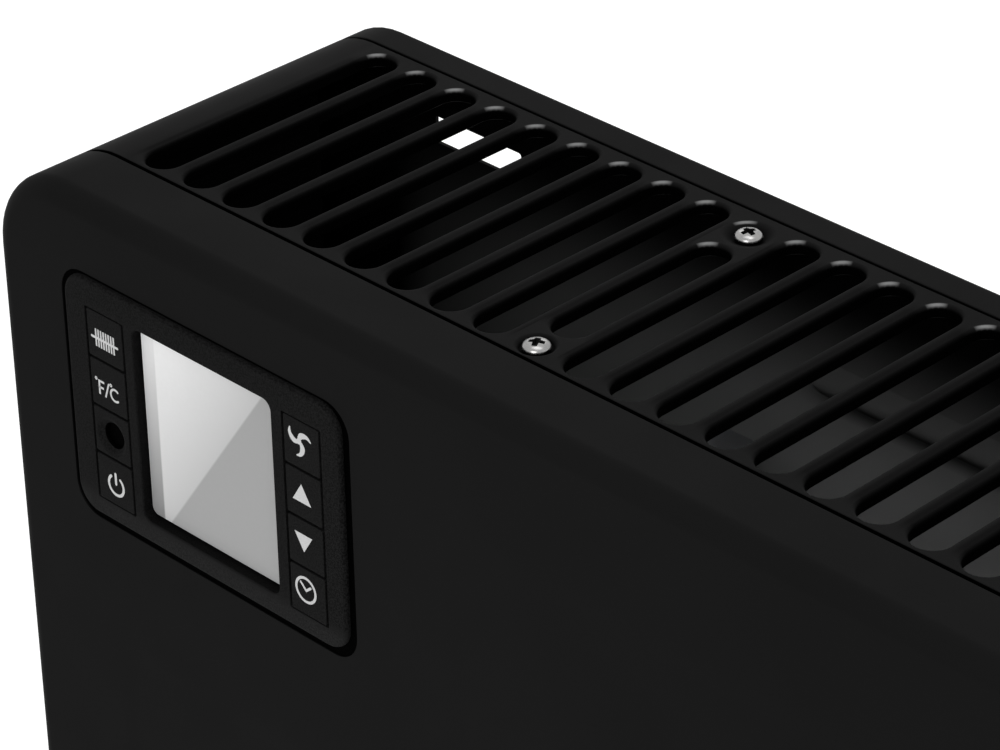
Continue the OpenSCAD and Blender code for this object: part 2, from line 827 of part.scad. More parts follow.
// The rear cover, with its hanging slots, louvres and the hole for the cord inlet
module rear_cover() color([0.10, 0.10, 0.11]) {
    translate([0, y_back, 0]) mirror([0, 1, 0]) pan(rear_depth - seam / 2, rear_bend_r) {
        for (sx = [-1, 1]) {
            translate([sx * (x_side - hang_side), z_top - hang_top])
                square([hang_w, hang_h], center = true);
            for (k = [0 : louvres - 1])
                translate([sx * (x_side - louvre_side) + (k - (louvres - 1) / 2) * louvre_pitch,
                    z_bottom + louvre_z]) rrect(louvre_w, louvre_h, louvre_r);
        }
        translate([x_side - inlet_side, z_bottom + inlet_z]) circle(inlet_r + inlet_wall);
    }
    for (x = screw_xs) screw_tab(x, y_screw_rear, y_seam_rear, -1);
    // the power board's standoffs
    for (sx = [-1, 1], sz = [-1, 1])
        rod_y(power_x + sx * standoff_dx, power_z + sz * standoff_dz, standoff_r,
            y_power, y_back - sheet_t / 2);
}

// The stadium of one slot's outer edge; x is its centre
module slot_outline(x, y0, y1) {
    for (y = [y0 + slot_out, y1 - slot_out]) translate([x, y]) circle(slot_out);
    translate([x - slot_out, y0 + slot_out]) square([2 * slot_out, y1 - y0 - 2 * slot_out]);
}

// The lip's section: rolled down from the face, then straight; x is the distance from the centre line
module lip_profile() {
    centre = [slot_out, -lip_r];
    arc = [for (a = [90 : lip_step : 180]) [cos(a), sin(a)]];
    n = len(arc);
    polygon(concat(
        [[slot_out + lip_root, 0]],
        [for (p = arc) centre + lip_r * p],
        [[slot_hw, -lip_h], [slot_hw + sheet_t, -lip_h]],
        [for (k = [1 : n]) centre + (lip_r - sheet_t) * arc[n - k]],
        [[slot_out + lip_root, -sheet_t]]));
}

module slot_lip(x, y0, y1) {
    run = y1 - y0 - 2 * slot_out;
    translate([x, y0 + slot_out, z_top]) {
        for (side = [0, 1])
            mirror([side, 0, 0]) translate([0, run, 0]) rotate([90, 0, 0]) linear_extrude(run) lip_profile();
        rotate([0, 0, 180]) rotate_extrude(angle = 180) lip_profile();
        translate([0, run, 0]) rotate_extrude(angle = 180) lip_profile();
    }
}

// The dimple around a grille screw, with its hole
module dimple(x, y) {
    translate([x, y, z_top]) rotate_extrude() {
        translate([dimple_r - sheet_t, -dimple_h - sheet_t]) square([sheet_t, dimple_h + sheet_t]);
        translate([m3_r + screw_gap, -dimple_h - sheet_t])
            square([dimple_r - m3_r - screw_gap - sheet_t, sheet_t]);
    }
}

// The wrap: sides, corner bends and top grille in one sheet, open below between two flanges
module casing_wrap() color([0.12, 0.12, 0.13]) {
    y0 = y_seam_front + seam / 2;
    y1 = y_seam_rear - seam / 2;
    difference() {
        union() {
            difference() {
                slab_y(y0, y1) ring(0, sheet_t);
                translate([0, 0, z_top - sheet_t - cut]) linear_extrude(sheet_t + 2 * cut) {
                    for (k = [-slot_mid : slot_mid])
                        slot_outline(k * slot_pitch, slot_start(k), slot_end(k));
                    for (x = screw_xs, y = [y_screw_front, y_screw_rear])
                        translate([x, y]) circle(dimple_r - sheet_t / 2);
                }
            }
            difference() {
                union() {
                    slab_y(y0, y0 + sheet_t) ring(sheet_t / 2, 2 * sheet_t);
                    slab_y(y1 - sheet_t, y1) ring(sheet_t / 2, 2 * sheet_t);
                    slab_y(y_seam_front - front_lip, y0 + sheet_t) ring(sheet_t, 2 * sheet_t);
                    slab_y(y1 - sheet_t, y_seam_rear + rear_lip) ring(sheet_t, 2 * sheet_t);
                }
                // room for the tabs that the screws thread into
                for (x = screw_xs)
                    block([x - tab_w / 2 - cut, y_front, tab_z1 - sheet_t - cut],
                        [x + tab_w / 2 + cut, y_back, z_top - sheet_t]);
            }
        }
        // the mouth for the bottom panel
        block([-mouth_x, y_front, z_bottom - cut], [mouth_x, y_back, z_floor + cut]);
    }
    for (k = [-slot_mid : slot_mid]) slot_lip(k * slot_pitch, slot_start(k), slot_end(k));
    for (x = screw_xs, y = [y_screw_front, y_screw_rear]) dimple(x, y);
}

// The bottom panel lies on the flanges of both covers
module bottom_panel() color([0.16, 0.16, 0.17]) {
    translate([0, 0, z_bottom + sheet_t]) linear_extrude(sheet_t) difference() {
        translate([-mouth_x, y_front + front_bend_r])
            square([2 * mouth_x, depth - front_bend_r - rear_bend_r]);
        for (row = [-1, 1], k = [0 : intakes - 1])
            translate([(intake_x0 + intake_x1) / 2 + (k - (intakes - 1) / 2) * intake_pitch,
                y_mid + row * intake_row]) rrect(intake_w, intake_l, intake_r);
        for (x = foot_xs, sy = [-1, 1]) translate([x, sy * foot_screw_y]) circle(foot_screw_r);
    }
}

// The control panel's moulded housing, with windows for the display and the two rows of keys
module panel_bezel() color([0.13, 0.13, 0.14]) {
    keys_h = key_rows * key_pitch;
    difference() {
        union() {
            slab_y(y_face, y_face + panel_t) panel_outline(0, 0, panel_r);
            slab_y(y_rim, y_rim + panel_t) rim_outline(0);
            // the flange that seats behind the front cover
            slab_y(y_front + sheet_t, y_front + sheet_t + seat_t) rim_outline(window_gap + seat_w);
            slab_y(y_rim, y_board) difference() {
                panel_outline(0, 0, panel_r);
                panel_outline(-housing_t, -housing_t, panel_r - housing_t);
            }
        }
        slab_y(y_face - cut, y_board) translate([lcd_x, lcd_z]) rrect(lcd_w, lcd_h, lcd_r);
        // the keys' windows, which widen behind the face for the keys' flanges
        for (side = [0, 1]) {
            x0 = key_xs[side] - key_ws[side] / 2;
            x1 = key_xs[side] + key_ws[side] / 2;
            block([x0, y_face - cut, keys_z1 - keys_h], [x1, y_board, keys_z1]);
            block([x0 - key_flange, y_key_back, keys_z1 - keys_h], [x1 + key_flange, y_board, keys_z1]);
        }
    }
}

module lcd_module() color([0.75, 0.76, 0.78]) {
    foot = lcd_foot_w / 2;
    slab_y(y_glass, y_glass + lcd_t) translate([lcd_x, lcd_z]) rrect(lcd_w, lcd_h, lcd_r);
    // the module's feet on the board
    for (sz = [-1, 1]) {
        z = lcd_z + sz * (lcd_h / 2 - lcd_foot_w);
        block([lcd_x - lcd_w / 2 + foot, y_glass + lcd_t / 2, z - foot],
            [lcd_x + lcd_w / 2 - foot, y_board, z + foot]);
    }
}

// A cell of a key row: a cap flush with the face, with side flanges behind it
module key_cell(side, row) {
    x = key_xs[side];
    cap = key_ws[side] / 2 - key_gap;
    z0 = key_z(row) - (key_pitch - key_gap) / 2;
    z1 = key_z(row) + (key_pitch - key_gap) / 2;
    y1 = y_key_back + key_flange_t;
    block([x - cap, y_face, z0], [x + cap, y1, z1]);
    block([x - cap - key_flange, y_key_back, z0], [x + cap + key_flange, y1, z1]);
}

// One key, with the stem that reaches its push switch
module key(side, row) {
    key_cell(side, row);
    rod_y(key_xs[side], key_z(row), key_stem_r, y_key_back, y_board - switch_h - key_travel - stem_gap);
}

module key_heat() color([0.12, 0.12, 0.13]) key(0, 0);
module key_unit() color([0.12, 0.12, 0.13]) key(0, 1);
module key_power() color([0.12, 0.12, 0.13]) key(0, 3);
module key_fan() color([0.12, 0.12, 0.13]) key(1, 0);
module key_up() color([0.12, 0.12, 0.13]) key(1, 1);
module key_down() color([0.12, 0.12, 0.13]) key(1, 2);
module key_timer() color([0.12, 0.12, 0.13]) key(1, 3);

// The fixed cell in the left row, dished down to the infrared receiver
module receiver_window() color([0.12, 0.12, 0.13]) {
    x = key_xs[0];
    z = key_z(2);
    y_receiver = y_board - receiver_d;
    difference() {
        union() {
            key_cell(0, 2);
            rod_y(x, z, eye_r + eye_wall, y_key_back, y_receiver);
            block([x - receiver_w / 2, y_receiver - cut, z - receiver_w / 2],
                [x + receiver_w / 2, y_board, z + receiver_w / 2]);
        }
        translate([x, y_face - eps, z]) rotate([-90, 0, 0])
            cylinder(r1 = eye_r, r2 = eye_r - eye_taper, h = eye_d + eps);
        rod_y(x, z, eye_r - eye_taper, y_face + eye_d - eps, y_receiver - cut);
    }
}

module display_board() color([0.10, 0.32, 0.16]) {
    inset = housing_t + board_gap;
    slab_y(y_board, y_board + board_t) panel_outline(-inset, -inset, panel_r - inset);
    // the plug strip for the cable to the power board
    z = panel_z - plug_drop;
    block([panel_x - plug_w / 2, y_board + board_t / 2, z - plug_h / 2],
        [panel_x + plug_w / 2, y_board + board_t + plug_d, z + plug_h / 2]);
}

// A push switch: a square base and a round plunger
module push_switch(side, row) {
    x = key_xs[side];
    z = key_z(row);
    block([x - switch_w / 2, y_board - switch_h + plunger_h, z - switch_w / 2],
        [x + switch_w / 2, y_board, z + switch_w / 2]);
    rod_y(x, z, plunger_r, y_board - switch_h, y_board);
}

// The seven push switches, which are soldered to the display board
module push_switches() color([0.25, 0.25, 0.26]) {
    for (row = [0, 1, 3]) push_switch(0, row);
    for (row = [0 : key_rows - 1]) push_switch(1, row);
}

// One finned aluminium element: an X section, cut across into fins, with a pin at each end
module element(y) {
    difference() {
        slab_x(el_x0, el_x1) translate([y, el_z]) {
            circle(core_r);
            for (a = [45 : 90 : 315]) rotate(a) {
                translate([0, -arm_t / 2]) square([arm_l, arm_t]);
                for (d = [core_r + 0.7 * rib_pitch : rib_pitch : arm_l - rib_t])
                    translate([d, -arm_t / 2 - rib_h]) square([rib_t, arm_t + 2 * rib_h]);
            }
        }
        for (k = [1 : fins]) {
            x = el_x0 + k * (el_x1 - el_x0) / (fins + 1) - fin_cut / 2;
            slab_x(x, x + fin_cut) translate([y, el_z]) difference() {
                circle(arm_l + 2 * rib_h);
                circle(core_r + rib_h);
            }
        }
    }
    rod_x(y, el_z, pin_r, el_x0 - pin_reach, el_x0 + core_r);
    rod_x(y, el_z, pin_r, el_x1 - core_r, el_x1 + pin_reach);
}

module element_front() color([0.72, 0.73, 0.75]) element(el_ys[0]);
module element_rear() color([0.72, 0.73, 0.75]) element(el_ys[1]);

// A ceramic insulator around an element's pin; dir is -1 at the left end and 1 at the right
module insulator(y, dir) {
    x0 = (dir < 0 ? el_x0 : el_x1) + dir * collar_gap;
    xb = (dir < 0 ? el_x0 : el_x1) + dir * bracket_gap;
    x1 = xb + dir * insulator_l;
    difference() {
        union() {
            rod_x(y, el_z, insulator_r, min(x0, x1), max(x0, x1));
            rod_x(y, el_z, insulator_r + collar_w, min(x0, xb), max(x0, xb));
        }
        rod_x(y, el_z, pin_r, min(x0, x1) - cut, max(x0, x1) + cut);
    }
}

module insulator_front_left() color([0.93, 0.92, 0.88]) insulator(el_ys[0], -1);
module insulator_front_right() color([0.93, 0.92, 0.88]) insulator(el_ys[0], 1);
module insulator_rear_left() color([0.93, 0.92, 0.88]) insulator(el_ys[1], -1);
module insulator_rear_right() color([0.93, 0.92, 0.88]) insulator(el_ys[1], 1);

// A steel end bracket that stands on the bottom panel and holds both insulators
module element_bracket(dir) {
    x0 = dir < 0 ? el_x0 - bracket_gap - bracket_t : el_x1 + bracket_gap;
    x1 = x0 + bracket_t;
    difference() {
        union() {
            slab_x(x0, x1) {
                translate([y_mid, z_floor + bracket_h / 2]) rrect(bracket_w, bracket_h, bracket_r);
                translate([y_mid - bracket_w / 2, z_floor]) square([bracket_w, 2 * bracket_r]);
            }
            block([dir < 0 ? x0 - bracket_foot : x0, y_mid - bracket_w / 2, z_floor],
                [dir < 0 ? x1 : x1 + bracket_foot, y_mid + bracket_w / 2, z_floor + bracket_t]);
        }
        for (y = el_ys) rod_x(y, el_z, insulator_r, x0 - cut, x1 + cut);
        // an opening that lightens the bracket
        slab_x(x0 - cut, x1 + cut) translate([y_mid, z_bottom + bracket_open_z])
            rrect(bracket_w - 2 * bracket_leg, bracket_open_h, bracket_r);
    }
}

module element_bracket_left() color([0.62, 0.63, 0.65]) element_bracket(-1);
module element_bracket_right() color([0.62, 0.63, 0.65]) element_bracket(1);

// The blower's scroll: two end plates, a back wall that bends round the wheel and a low front wall
module blower_scroll() color([0.55, 0.56, 0.58]) {
    plate = scroll_r + plate_edge;
    difference() {
        for (x = [bl_x0 - scroll_t, bl_x1])
            block([x, y_mid - plate, z_floor], [x + scroll_t, y_mid + plate, bl_z + plate]);
        rod_x(y_mid, bl_z, bush_r, bl_x0 - scroll_t - cut, bl_x0 + cut);
        rod_x(y_mid, bl_z, shaft_r + shaft_pass, bl_x1 - cut, bl_x1 + scroll_t + cut);
    }
    slab_x(bl_x0 - scroll_t / 2, bl_x1 + scroll_t / 2) {
        translate([y_mid, bl_z]) intersection() {
            difference() {
                circle(scroll_r + scroll_t);
                circle(scroll_r);
            }
            polygon([[0, 0], [3 * scroll_r, 0], 3 * scroll_r * [cos(scroll_wrap), sin(scroll_wrap)]]);
        }
        translate([y_mid + scroll_r, z_floor]) square([scroll_t, bl_z - z_floor]);
        translate([y_mid + scroll_r, z_floor]) square([scroll_foot, scroll_t]);
        translate([y_mid - wheel_r - tongue_gap, z_floor]) square([scroll_t, bl_z + tongue_h - z_floor]);
    }
}

module blower_bush() color([0.20, 0.20, 0.21]) {
    difference() {
        union() {
            rod_x(y_mid, bl_z, bush_r, bl_x0 - bush_t, bl_x0);
            rod_x(y_mid, bl_z, bush_r + bush_collar, bl_x0 - bush_t, bl_x0 - scroll_t);
        }
        rod_x(y_mid, bl_z, shaft_r + shaft_gap, bl_x0 - bush_t - cut, bl_x0 + cut);
    }
}

// The wheel: three discs, a ring of curved blades and the shaft
module blower_wheel() color([0.72, 0.73, 0.75]) {
    x0 = bl_x0 + wheel_end_gap;
    x1 = x0 + wheel_l;
    for (x = [x0, (x0 + x1 - disc_t) / 2, x1 - disc_t]) rod_x(y_mid, bl_z, wheel_r, x, x + disc_t);
    slab_x(x0 + disc_t / 2, x1 - disc_t / 2) translate([y_mid, bl_z])
        for (k = [0 : blades - 1]) rotate(k * 360 / blades) intersection() {
            translate([wheel_r - blade_depth / 2, blade_depth]) difference() {
                circle(blade_curve + blade_t);
                circle(blade_curve);
            }
            translate([wheel_r - blade_depth, -blade_depth / 2])
                square([blade_depth - blade_t / 2, blade_depth]);
        }
    rod_x(y_mid, bl_z, shaft_r, bl_x0 - bush_t - shaft_end, motor_x + motor_t + motor_hub_l + shaft_end);
}

module blower_motor() color([0.45, 0.45, 0.47]) {
    x1 = motor_x + motor_t;
    difference() {
        union() {
            slab_x(motor_x, x1) translate([y_mid, bl_z + motor_rise]) rrect(motor_w, motor_w, motor_corner_r);
            rod_x(y_mid, bl_z, motor_hub_r, motor_x - motor_gap, x1 + motor_hub_l);
            // the winding
            slab_x(motor_x - winding_l, x1 + winding_l) translate([y_mid, bl_z + winding_rise])
                rrect(winding_w, winding_h, motor_corner_r);
            // two posts to the scroll's end plate
            for (sy = [-1, 1])
                rod_x(y_mid + sy * post_y, bl_z + post_z, post_r, bl_x1 + scroll_t, motor_x + motor_t / 2);
        }
        rod_x(y_mid, bl_z, shaft_r + shaft_gap, motor_x - motor_gap - cut, x1 + motor_hub_l + cut);
    }
}

// The wall between the electronics and the heating chamber
module partition() color([0.62, 0.63, 0.65]) {
    z1 = z_top - partition_top;
    x1 = part_x + sheet_t;
    slab_x(part_x, x1) difference() {
        translate([y_seam_front, z_floor]) square([wrap_depth, z1 - z_floor]);
        translate([y_mid, z_floor + wire_hole_z]) rrect(wire_hole_w, wire_hole_h, 0.4 * wire_hole_h);
    }
    for (z = [z_floor, z1 - sheet_t])
        block([part_x - partition_foot, y_seam_front, z], [x1, y_seam_rear, z + sheet_t]);
}

module thermal_cutout() color([0.80, 0.78, 0.72]) {
    z = el_z + cutout_over;
    x = part_x + sheet_t;
    rod_x(y_mid, z, cutout_r, x, x + cutout_h);
    slab_x(x, x + sheet_t) translate([y_mid, z]) rrect(cutout_plate_w, cutout_plate, cutout_r / 2);
    for (sy = [-1, 1]) {
        y = y_mid + sy * cutout_r / 2;
        block([x + cutout_h - cut, y - terminal_t / 2, z - flat_terminal_w / 2],
            [x + cutout_h + flat_terminal_l, y + terminal_t / 2, z + flat_terminal_w / 2]);
    }
}

module power_board() color([0.10, 0.32, 0.16]) {
    difference() {
        slab_y(y_parts, y_power) translate([power_x, power_z]) rrect(power_w, power_h, board_hole_r);
        for (sx = [-1, 1], sz = [-1, 1])
            rod_y(power_x + sx * standoff_dx, power_z + sz * standoff_dz, board_hole_r,
                y_parts - cut, y_power + cut);
    }
}

// A relay on the power board; side is -1 for the left one
module relay(side) {
    x = power_x + side * relay_pitch / 2;
    z = power_z + relay_rise;
    block([x - relay_w / 2, y_parts - relay_d, z - relay_h / 2], [x + relay_w / 2, y_parts, z + relay_h / 2]);
}
module relay_low() color([0.10, 0.22, 0.45]) relay(-1);
module relay_high() color([0.10, 0.22, 0.45]) relay(1);

module terminal_block() color([0.15, 0.42, 0.25]) {
    x0 = power_x - power_w / 2 + 2 * standoff_in + terminal_up;
    y0 = y_parts - terminal_d;
    z0 = power_z - power_h / 2 + terminal_up;
    difference() {
        block([x0, y0, z0], [x0 + ways * way_w, y_parts, z0 + terminal_h]);
        for (k = [0 : ways - 1])
            rod_y(x0 + (k + 0.5) * way_w, z0 + terminal_h / 2, way_r, y0 - cut, y0 + way_d);
    }
}

module transformer() color([0.85, 0.75, 0.20]) {
    x1 = power_x + standoff_dx;
    x0 = x1 - transformer_w;
    z0 = power_z - power_h / 2 + 1.5 * standoff_in;
    z1 = z0 + transformer_w;
    y0 = y_parts - transformer_d;
    block([x0, y0, z0], [x1, y_parts, z1]);
    block([x0 + coil_in, y0 - coil_d, z0 + coil_in], [x1 - coil_in, y0 + cut, z1 - coil_in]);
}

// The tilt switch's bracket: two cheeks with the pivot pin between them
module tilt_bracket() color([0.62, 0.63, 0.65]) {
    y0 = y_mid - tilt_bracket_w / 2 - tilt_bracket_t;
    y1 = y_mid + tilt_bracket_w / 2;
    for (y = [y0, y1])
        slab_y(y, y + tilt_bracket_t) {
            translate([tilt_x, tilt_pivot_z]) circle(cheek_r);
            translate([tilt_x - cheek_r, z_floor]) square([2 * cheek_r, tilt_z]);
        }
    block([tilt_x - cheek_r - tilt_foot, y0, z_floor],
        [tilt_x + cheek_r, y1 + tilt_bracket_t, z_floor + tilt_bracket_t]);
    rod_y(tilt_x, tilt_pivot_z, tilt_pin_r, y0, y1 + tilt_bracket_t);
}

module tilt_pendulum() color([0.70, 0.62, 0.35]) {
    weight_z = tilt_pivot_z - tilt_l;
    difference() {
        union() {
            rod_y(tilt_x, tilt_pivot_z, tilt_pin_r + tilt_hub_wall,
                y_mid - tilt_hub_d / 2, y_mid + tilt_hub_d / 2);
            block([tilt_x - tilt_rod_w / 2, y_mid - tilt_rod_d / 2, weight_z],
                [tilt_x + tilt_rod_w / 2, y_mid + tilt_rod_d / 2, tilt_pivot_z]);
            rod_y(tilt_x, weight_z, weight_r, y_mid - weight_d / 2, y_mid + weight_d / 2);
        }
        rod_y(tilt_x, tilt_pivot_z, tilt_pin_r + tilt_gap, y_mid - weight_d, y_mid + weight_d);
    }
}

// The switch that the pendulum works at the end of its swing
module tilt_switch() color([0.12, 0.12, 0.13]) {
    x0 = tilt_x + tilt_reach + tilt_stop;
    x1 = x0 + tilt_switch_w;
    y0 = y_mid - tilt_switch_d / 2;
    y1 = y_mid + tilt_switch_d / 2;
    block([x0, y0, z_floor], [x1, y1, z_floor + tilt_switch_h]);
    block([x0, y0, z_floor], [x1 + tilt_switch_foot, y1, z_floor + tilt_bracket_t]);
}

module room_sensor() color([0.15, 0.15, 0.16]) {
    x = x_left + sensor_side;
    y = y_mid + sensor_y;
    z = z_floor + sensor_base_h;
    block([x - sensor_w / 2, y - sensor_w / 2, z_floor], [x + sensor_w / 2, y + sensor_w / 2, z]);
    translate([x, y, z_floor + cut]) cylinder(r = sensor_r, h = sensor_base_h - cut + sensor_stem_h);
    translate([x, y, z + sensor_stem_h]) sphere(sensor_r);
}

// The inlet bush for the cord, clipped into the rear cover
module cord_inlet() color([0.08, 0.08, 0.09]) {
    x = x_side - inlet_side;
    z = z_bottom + inlet_z;
    r = inlet_r + inlet_wall;
    y0 = y_back - sheet_t - inlet_clip_l;
    y1 = y_back + inlet_collar_t;
    difference() {
        union() {
            rod_y(x, z, r, y0, y1);
            rod_y(x, z, r + inlet_collar, y_back, y1);
            rod_y(x, z, r + inlet_clip, y0, y_back - sheet_t);
        }
        rod_y(x, z, inlet_r, y0 - cut, y1 + cut);
    }
}

// A foot: an arched bar under the casing with a pocket for a rubber pad at each end
module foot(x) {
    sole = pad_h - pad_sink;
    arch_r = floor_gap - foot_end_h;
    difference() {
        translate([x, 0, 0]) intersection() {
            slab_x(-foot_w / 2, foot_w / 2) difference() {
                union() {
                    translate([-foot_l / 2, sole]) square([foot_l, foot_end_h - sole]);
                    translate([-foot_body, sole]) square([2 * foot_body, floor_gap - sole]);
                    // the sweep from the body down to each end
                    for (side = [0, 1]) mirror([side, 0]) difference() {
                        translate([foot_body, foot_end_h]) square(arch_r);
                        translate([foot_body + arch_r, foot_end_h + arch_r]) circle(arch_r);
                    }
                }
                // the hollow between the two ends
                translate([foot_web - foot_body, 0]) square([2 * (foot_body - foot_web), foot_hollow]);
            }
            linear_extrude(floor_gap) rrect(foot_w, foot_l, foot_r);
        }
        for (sy = [-1, 1]) {
            translate([x, sy * pad_y, 0]) cylinder(r = pad_r, h = pad_h);
            translate([x, sy * foot_screw_y, 0])
                cylinder(r = foot_head_r + foot_screw_room, h = floor_gap - foot_seat);
            translate([x, sy * foot_screw_y, 0]) cylinder(r = foot_screw_r + screw_gap, h = floor_gap + cut);
        }
    }
}

module foot_left() color([0.08, 0.08, 0.09]) foot(foot_xs[0]);
module foot_right() color([0.08, 0.08, 0.09]) foot(foot_xs[1]);

module pad(x, dir) {
    translate([x, dir * pad_y, 0]) cylinder(r = pad_r, h = pad_h);
}
module pad_left_front() color([0.05, 0.05, 0.05]) pad(foot_xs[0], -1);
module pad_left_back() color([0.05, 0.05, 0.05]) pad(foot_xs[0], 1);
module pad_right_front() color([0.05, 0.05, 0.05]) pad(foot_xs[1], -1);
module pad_right_back() color([0.05, 0.05, 0.05]) pad(foot_xs[1], 1);

// A pan-head screw pointing down, with the underside of its head at z = 0
module pan_screw(r, head_r, head_h, length) {
    dome = dome_r(head_r, head_h);
    difference() {
        union() {
            translate([0, 0, -length]) cylinder(r = r, h = length + head_h / 2);
            cylinder(r = head_r, h = head_h / 2);
            intersection() {
                translate([0, 0, head_h / 2]) cylinder(r = head_r, h = head_h);
                translate([0, 0, head_h - dome]) sphere(dome);
            }
        }
        for (a = [0, 90]) rotate(a) translate([-head_r * cross_l, -head_r * cross_w, head_h * cross_z])
            cube([2 * head_r * cross_l, 2 * head_r * cross_w, head_h]);
    }
}

module foot_screw(x, dir) {
    translate([x, dir * foot_screw_y, floor_gap - foot_seat]) mirror([0, 0, 1])
        pan_screw(foot_screw_r, foot_head_r, foot_head_h, foot_screw_l);
}
module foot_screw_left_front() color([0.75, 0.75, 0.77]) foot_screw(foot_xs[0], -1);
module foot_screw_left_back() color([0.75, 0.75, 0.77]) foot_screw(foot_xs[0], 1);
module foot_screw_right_front() color([0.75, 0.75, 0.77]) foot_screw(foot_xs[1], -1);
module foot_screw_right_back() color([0.75, 0.75, 0.77]) foot_screw(foot_xs[1], 1);

module grille_screw(k, y) {
    translate([screw_xs[k], y, z_top - dimple_h]) pan_screw(m3_r, m3_head_r, m3_head_h, grille_screw_l);
}
module grille_screw_1() color([0.85, 0.85, 0.87]) grille_screw(0, y_screw_front);
module grille_screw_2() color([0.85, 0.85, 0.87]) grille_screw(1, y_screw_front);
module grille_screw_3() color([0.85, 0.85, 0.87]) grille_screw(2, y_screw_front);
module grille_screw_4() color([0.85, 0.85, 0.87]) grille_screw(0, y_screw_rear);
module grille_screw_5() color([0.85, 0.85, 0.87]) grille_screw(1, y_screw_rear);
module grille_screw_6() color([0.85, 0.85, 0.87]) grille_screw(2, y_screw_rear);

front_cover();
casing_wrap();
rear_cover();
bottom_panel();
panel_bezel();
lcd_module();
receiver_window();
display_board();
push_switches();
key_heat();
key_unit();
key_power();
key_fan();
key_up();
key_down();
key_timer();
element_front();
element_rear();
insulator_front_left();
insulator_front_right();
insulator_rear_left();
insulator_rear_right();
element_bracket_left();
element_bracket_right();
blower_scroll();
blower_wheel();
blower_motor();
blower_bush();
partition();
thermal_cutout();
power_board();
relay_low();
relay_high();
terminal_block();
transformer();
tilt_bracket();
tilt_pendulum();
tilt_switch();
room_sensor();
cord_inlet();
foot_left();
foot_right();
pad_left_front();
pad_left_back();
pad_right_front();
pad_right_back();
foot_screw_left_front();
foot_screw_left_back();
foot_screw_right_front();
foot_screw_right_back();
grille_screw_1();
grille_screw_2();
grille_screw_3();
grille_screw_4();
grille_screw_5();
grille_screw_6();
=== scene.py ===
"""The dressed convector heater.

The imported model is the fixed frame. This script lays the pressed sheet, the rolled grille, the
moulded panel with its signs, the screws and every finish over it, and sets the studio up.
Lengths are in millimetres in the classes below, and in metres in the meshes.
"""
from __future__ import annotations

import json
import logging
import math
from dataclasses import dataclass, field
from enum import Enum
from typing import Any, Iterable, Sequence

import bmesh
import bpy
from mathutils import Matrix, Vector
from mathutils.geometry import delaunay_2d_cdt

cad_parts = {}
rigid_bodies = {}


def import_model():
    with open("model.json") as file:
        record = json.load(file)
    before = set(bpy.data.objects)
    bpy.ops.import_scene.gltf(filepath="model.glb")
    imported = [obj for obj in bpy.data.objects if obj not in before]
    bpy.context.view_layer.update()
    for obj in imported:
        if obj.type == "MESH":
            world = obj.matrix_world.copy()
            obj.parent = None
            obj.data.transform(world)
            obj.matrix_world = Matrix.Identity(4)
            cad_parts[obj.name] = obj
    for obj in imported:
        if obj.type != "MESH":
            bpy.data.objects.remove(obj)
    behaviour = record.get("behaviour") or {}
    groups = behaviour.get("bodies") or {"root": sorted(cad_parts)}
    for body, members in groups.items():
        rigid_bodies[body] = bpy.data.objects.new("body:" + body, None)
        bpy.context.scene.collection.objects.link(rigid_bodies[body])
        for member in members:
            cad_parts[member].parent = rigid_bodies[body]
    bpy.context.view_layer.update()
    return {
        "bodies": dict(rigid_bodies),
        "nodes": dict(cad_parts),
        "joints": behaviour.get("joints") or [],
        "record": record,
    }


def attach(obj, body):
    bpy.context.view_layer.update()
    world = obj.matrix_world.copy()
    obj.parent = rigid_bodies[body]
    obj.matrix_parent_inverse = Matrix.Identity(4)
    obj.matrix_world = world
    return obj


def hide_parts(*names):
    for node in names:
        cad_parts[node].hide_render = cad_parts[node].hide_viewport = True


log = logging.getLogger("heater")

MM = 0.001
ROOT = "heater"
CORNER_STEPS = 8
SMALLEST_R = 0.01

# Points closer than these, in metres, are one point
MERGE_REACH = 2e-6
NODE_MERGE_REACH = 1e-6

# The smallest distance, in millimetres, that the filling of a sheet tells apart
FILL_REACH = 1e-6

# Degrees between two faces: an edge stays sharp from here on, on moulded pieces and on bent sheets
SHARP_ANGLE = 32.0
SHEET_ANGLE = 40.0

# Degrees between two faces: an edge is rounded from here on, and faces count as one flat up to here
ROUND_ANGLE = 35.0
FLAT_ANGLE = 1.0

Point = tuple[float, float, float]
Flat = tuple[float, float]
Span = tuple[float, float, float, float]
Socket = bpy.types.NodeSocket


# Sizes that the sheets, the screws and the paint share


@dataclass(frozen=True)
class SlotRow:
    """The grille's row of slots, with two screws at every shortened one.

    slot_y and screw_slot_y are the ends of a slot and of a shortened one, over their lips.
    """

    slots: int = 45
    pitch: float = 13.0
    slot_hw: float = 4.5
    lip_r: float = 0.9
    slot_y: Flat = (-33.15, 42.3)
    screw_slot_y: Flat = (-23.6, 28.9)
    screw_step: int = 13
    screw_y: Flat = (-28.75, 35.55)

    @property
    def screw_pitch(self) -> float:
        """The way from each screw to the next."""
        return self.pitch * self.screw_step

    @property
    def reach(self) -> float:
        """The way from the middle to the end of the row."""
        return self.slots * self.pitch / 2

    @property
    def end_r(self) -> float:
        """The radius of a slot's round end, where its lip begins to roll down."""
        return self.slot_hw + self.lip_r


# Node trees


